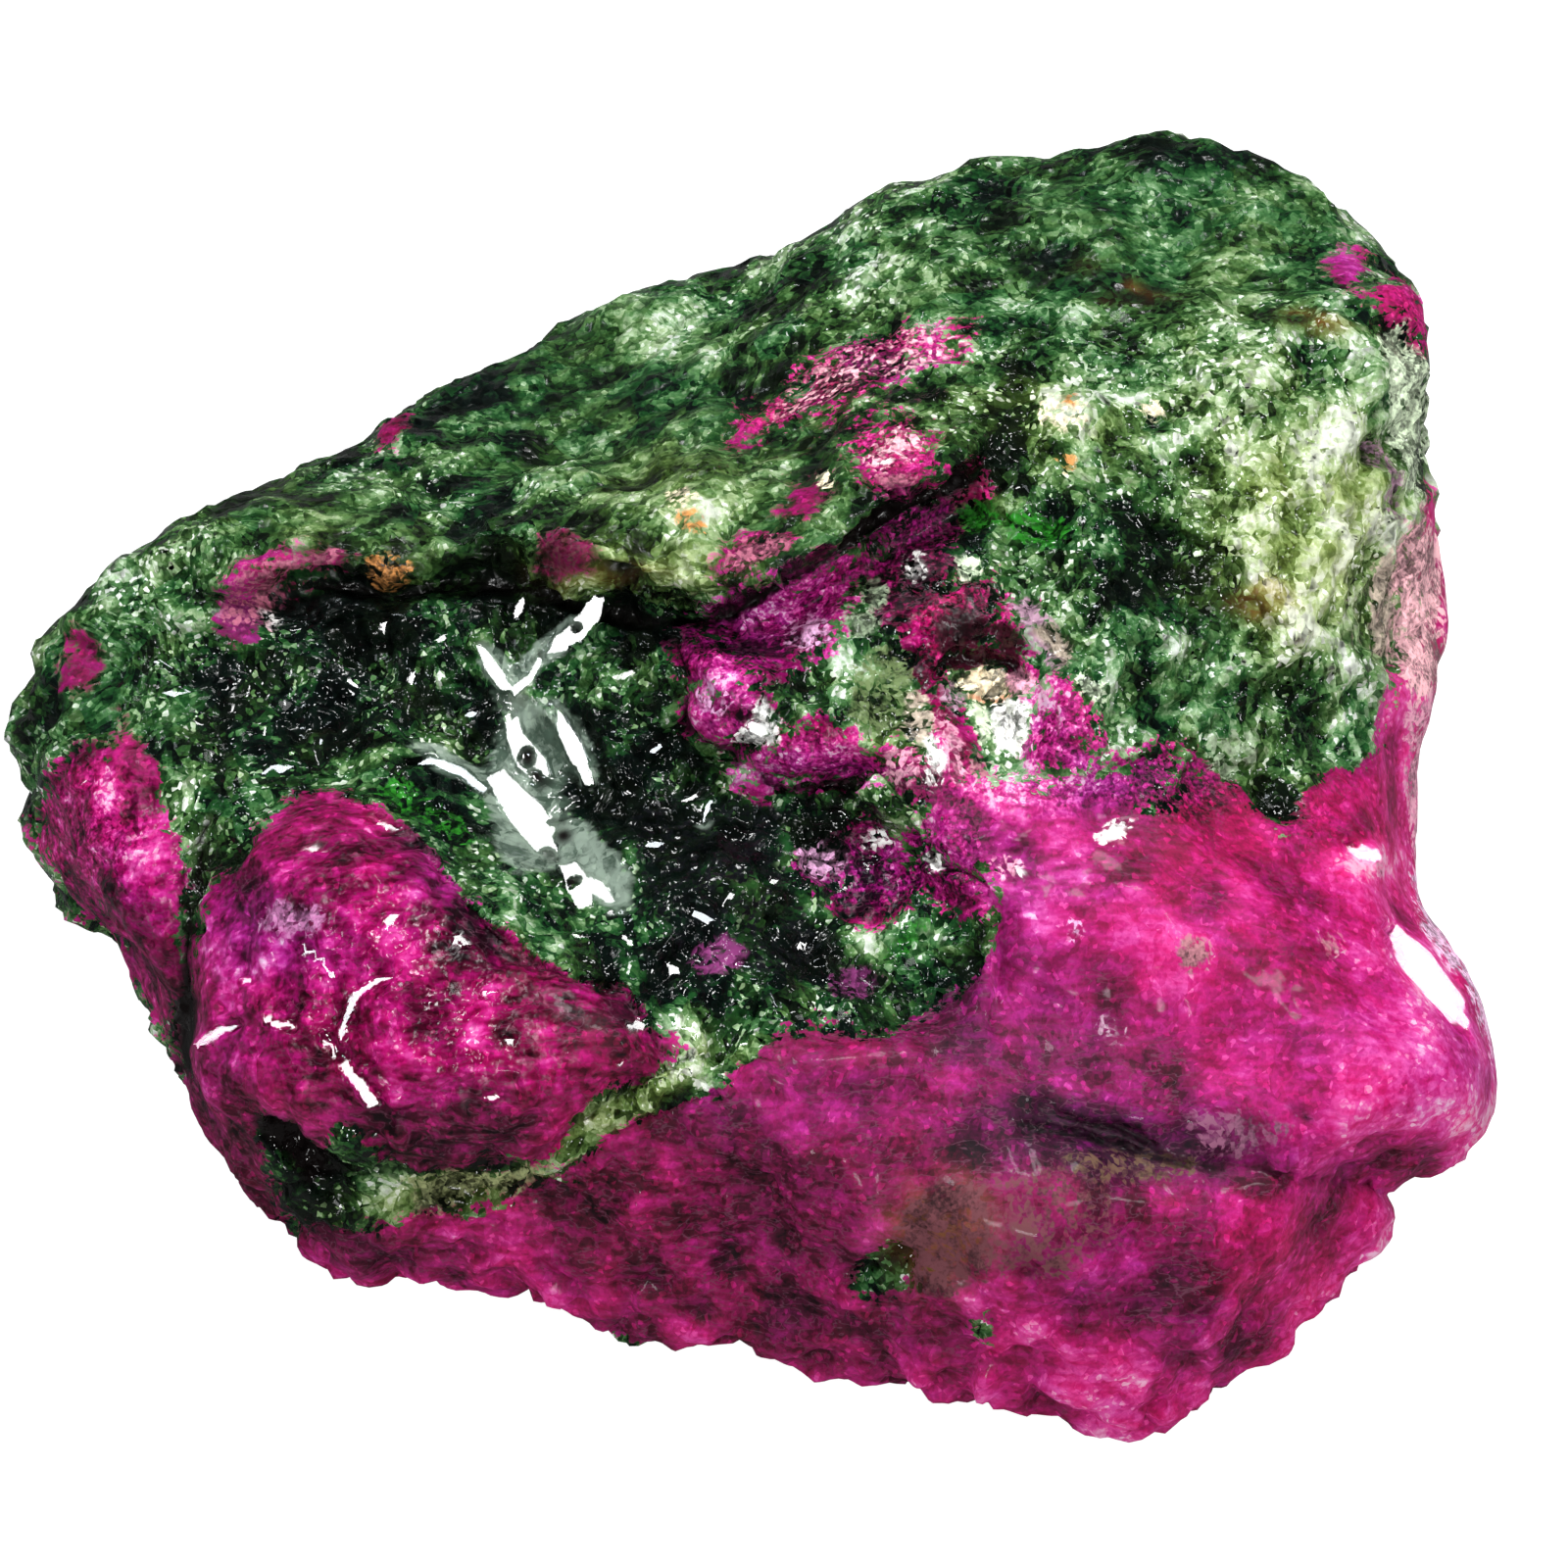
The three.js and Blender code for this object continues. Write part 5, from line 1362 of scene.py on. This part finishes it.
def floor_material():
    """White to the camera, and dimmer to the light that falls on the stone from below."""
    material = bpy.data.materials.new("pale floor")
    material.use_nodes = True
    nodes = Nodes(material.node_tree)
    ray = nodes.add("ShaderNodeLightPath").outputs
    unseen = nodes.mix(ray["Is Glossy Ray"], FLOOR_TO_STONE, FLOOR_TO_GLOSS)
    shader = material.node_tree.nodes["Principled BSDF"]
    nodes.feed(shader.inputs["Base Color"], nodes.mix(ray["Is Camera Ray"], unseen, FLOOR_TO_CAMERA))
    nodes.feed(shader.inputs["Roughness"], 0.9)
    nodes.feed(shader.inputs["Specular IOR Level"], 0.0)
    nodes.feed(shader.inputs["Emission Color"], nodes.mix(ray["Is Camera Ray"], BLACK, FULL_WHITE))
    nodes.feed(shader.inputs["Emission Strength"], FLOOR_GLOW)
    return material


def build_floor():
    mesh = bpy.data.meshes.new("floor")
    corners = [(x * FLOOR_REACH, y * FLOOR_REACH, 0) for x, y in ((-1, -1), (1, -1), (1, 1), (-1, 1))]
    mesh.from_pydata(corners, [], [(0, 1, 2, 3)])
    mesh.materials.append(floor_material())
    floor = bpy.data.objects.new("floor", mesh)
    bpy.context.collection.objects.link(floor)


def build_light(name, way, distance, size, power, colour):
    """A square soft light that looks at the stone."""
    light = bpy.data.lights.new(name, "AREA")
    light.size = size
    light.energy = power
    light.color = colour
    lamp = bpy.data.objects.new(name, light)
    lamp.location = Vector(HEART * MM + way * distance)
    lamp.rotation_euler = Vector(way).to_track_quat("Z", "Y").to_euler()
    bpy.context.collection.objects.link(lamp)


def build_room():
    """The white that the camera sees round the stone, and the dim light that the stone gets from it."""
    world = bpy.data.worlds.new("studio")
    world.use_nodes = True
    nodes = Nodes(world.node_tree)
    back = world.node_tree.nodes["Background"]
    seen = nodes.add("ShaderNodeLightPath").outputs["Is Camera Ray"]
    nodes.feed(back.inputs["Color"], FULL_WHITE)
    nodes.feed(back.inputs["Strength"], nodes.span(seen, 0.0, 1.0, ROOM_GLOW, 1.0))
    bpy.context.scene.world = world


def build_camera():
    camera = bpy.data.cameras.new("camera")
    camera.sensor_width = SENSOR_WIDTH
    camera.lens = SENSOR_WIDTH * EYE_DISTANCE * PER_MM / PICTURE
    camera.clip_start = 0.01
    eye = bpy.data.objects.new("camera", camera)
    turn = Matrix((RIGHT, UP, NEAR)).transposed().to_4x4()
    eye.matrix_world = Matrix.Translation(Vector((MIDDLE + EYE_DISTANCE * NEAR) * MM)) @ turn
    bpy.context.collection.objects.link(eye)
    bpy.context.scene.camera = eye


build_stone()
build_floor()
for name, (way, *make) in LIGHTS.items():
    build_light(name + " light", light_way(*way), *make)
build_room()
build_camera()
bpy.context.scene.view_settings.view_transform = "Standard"
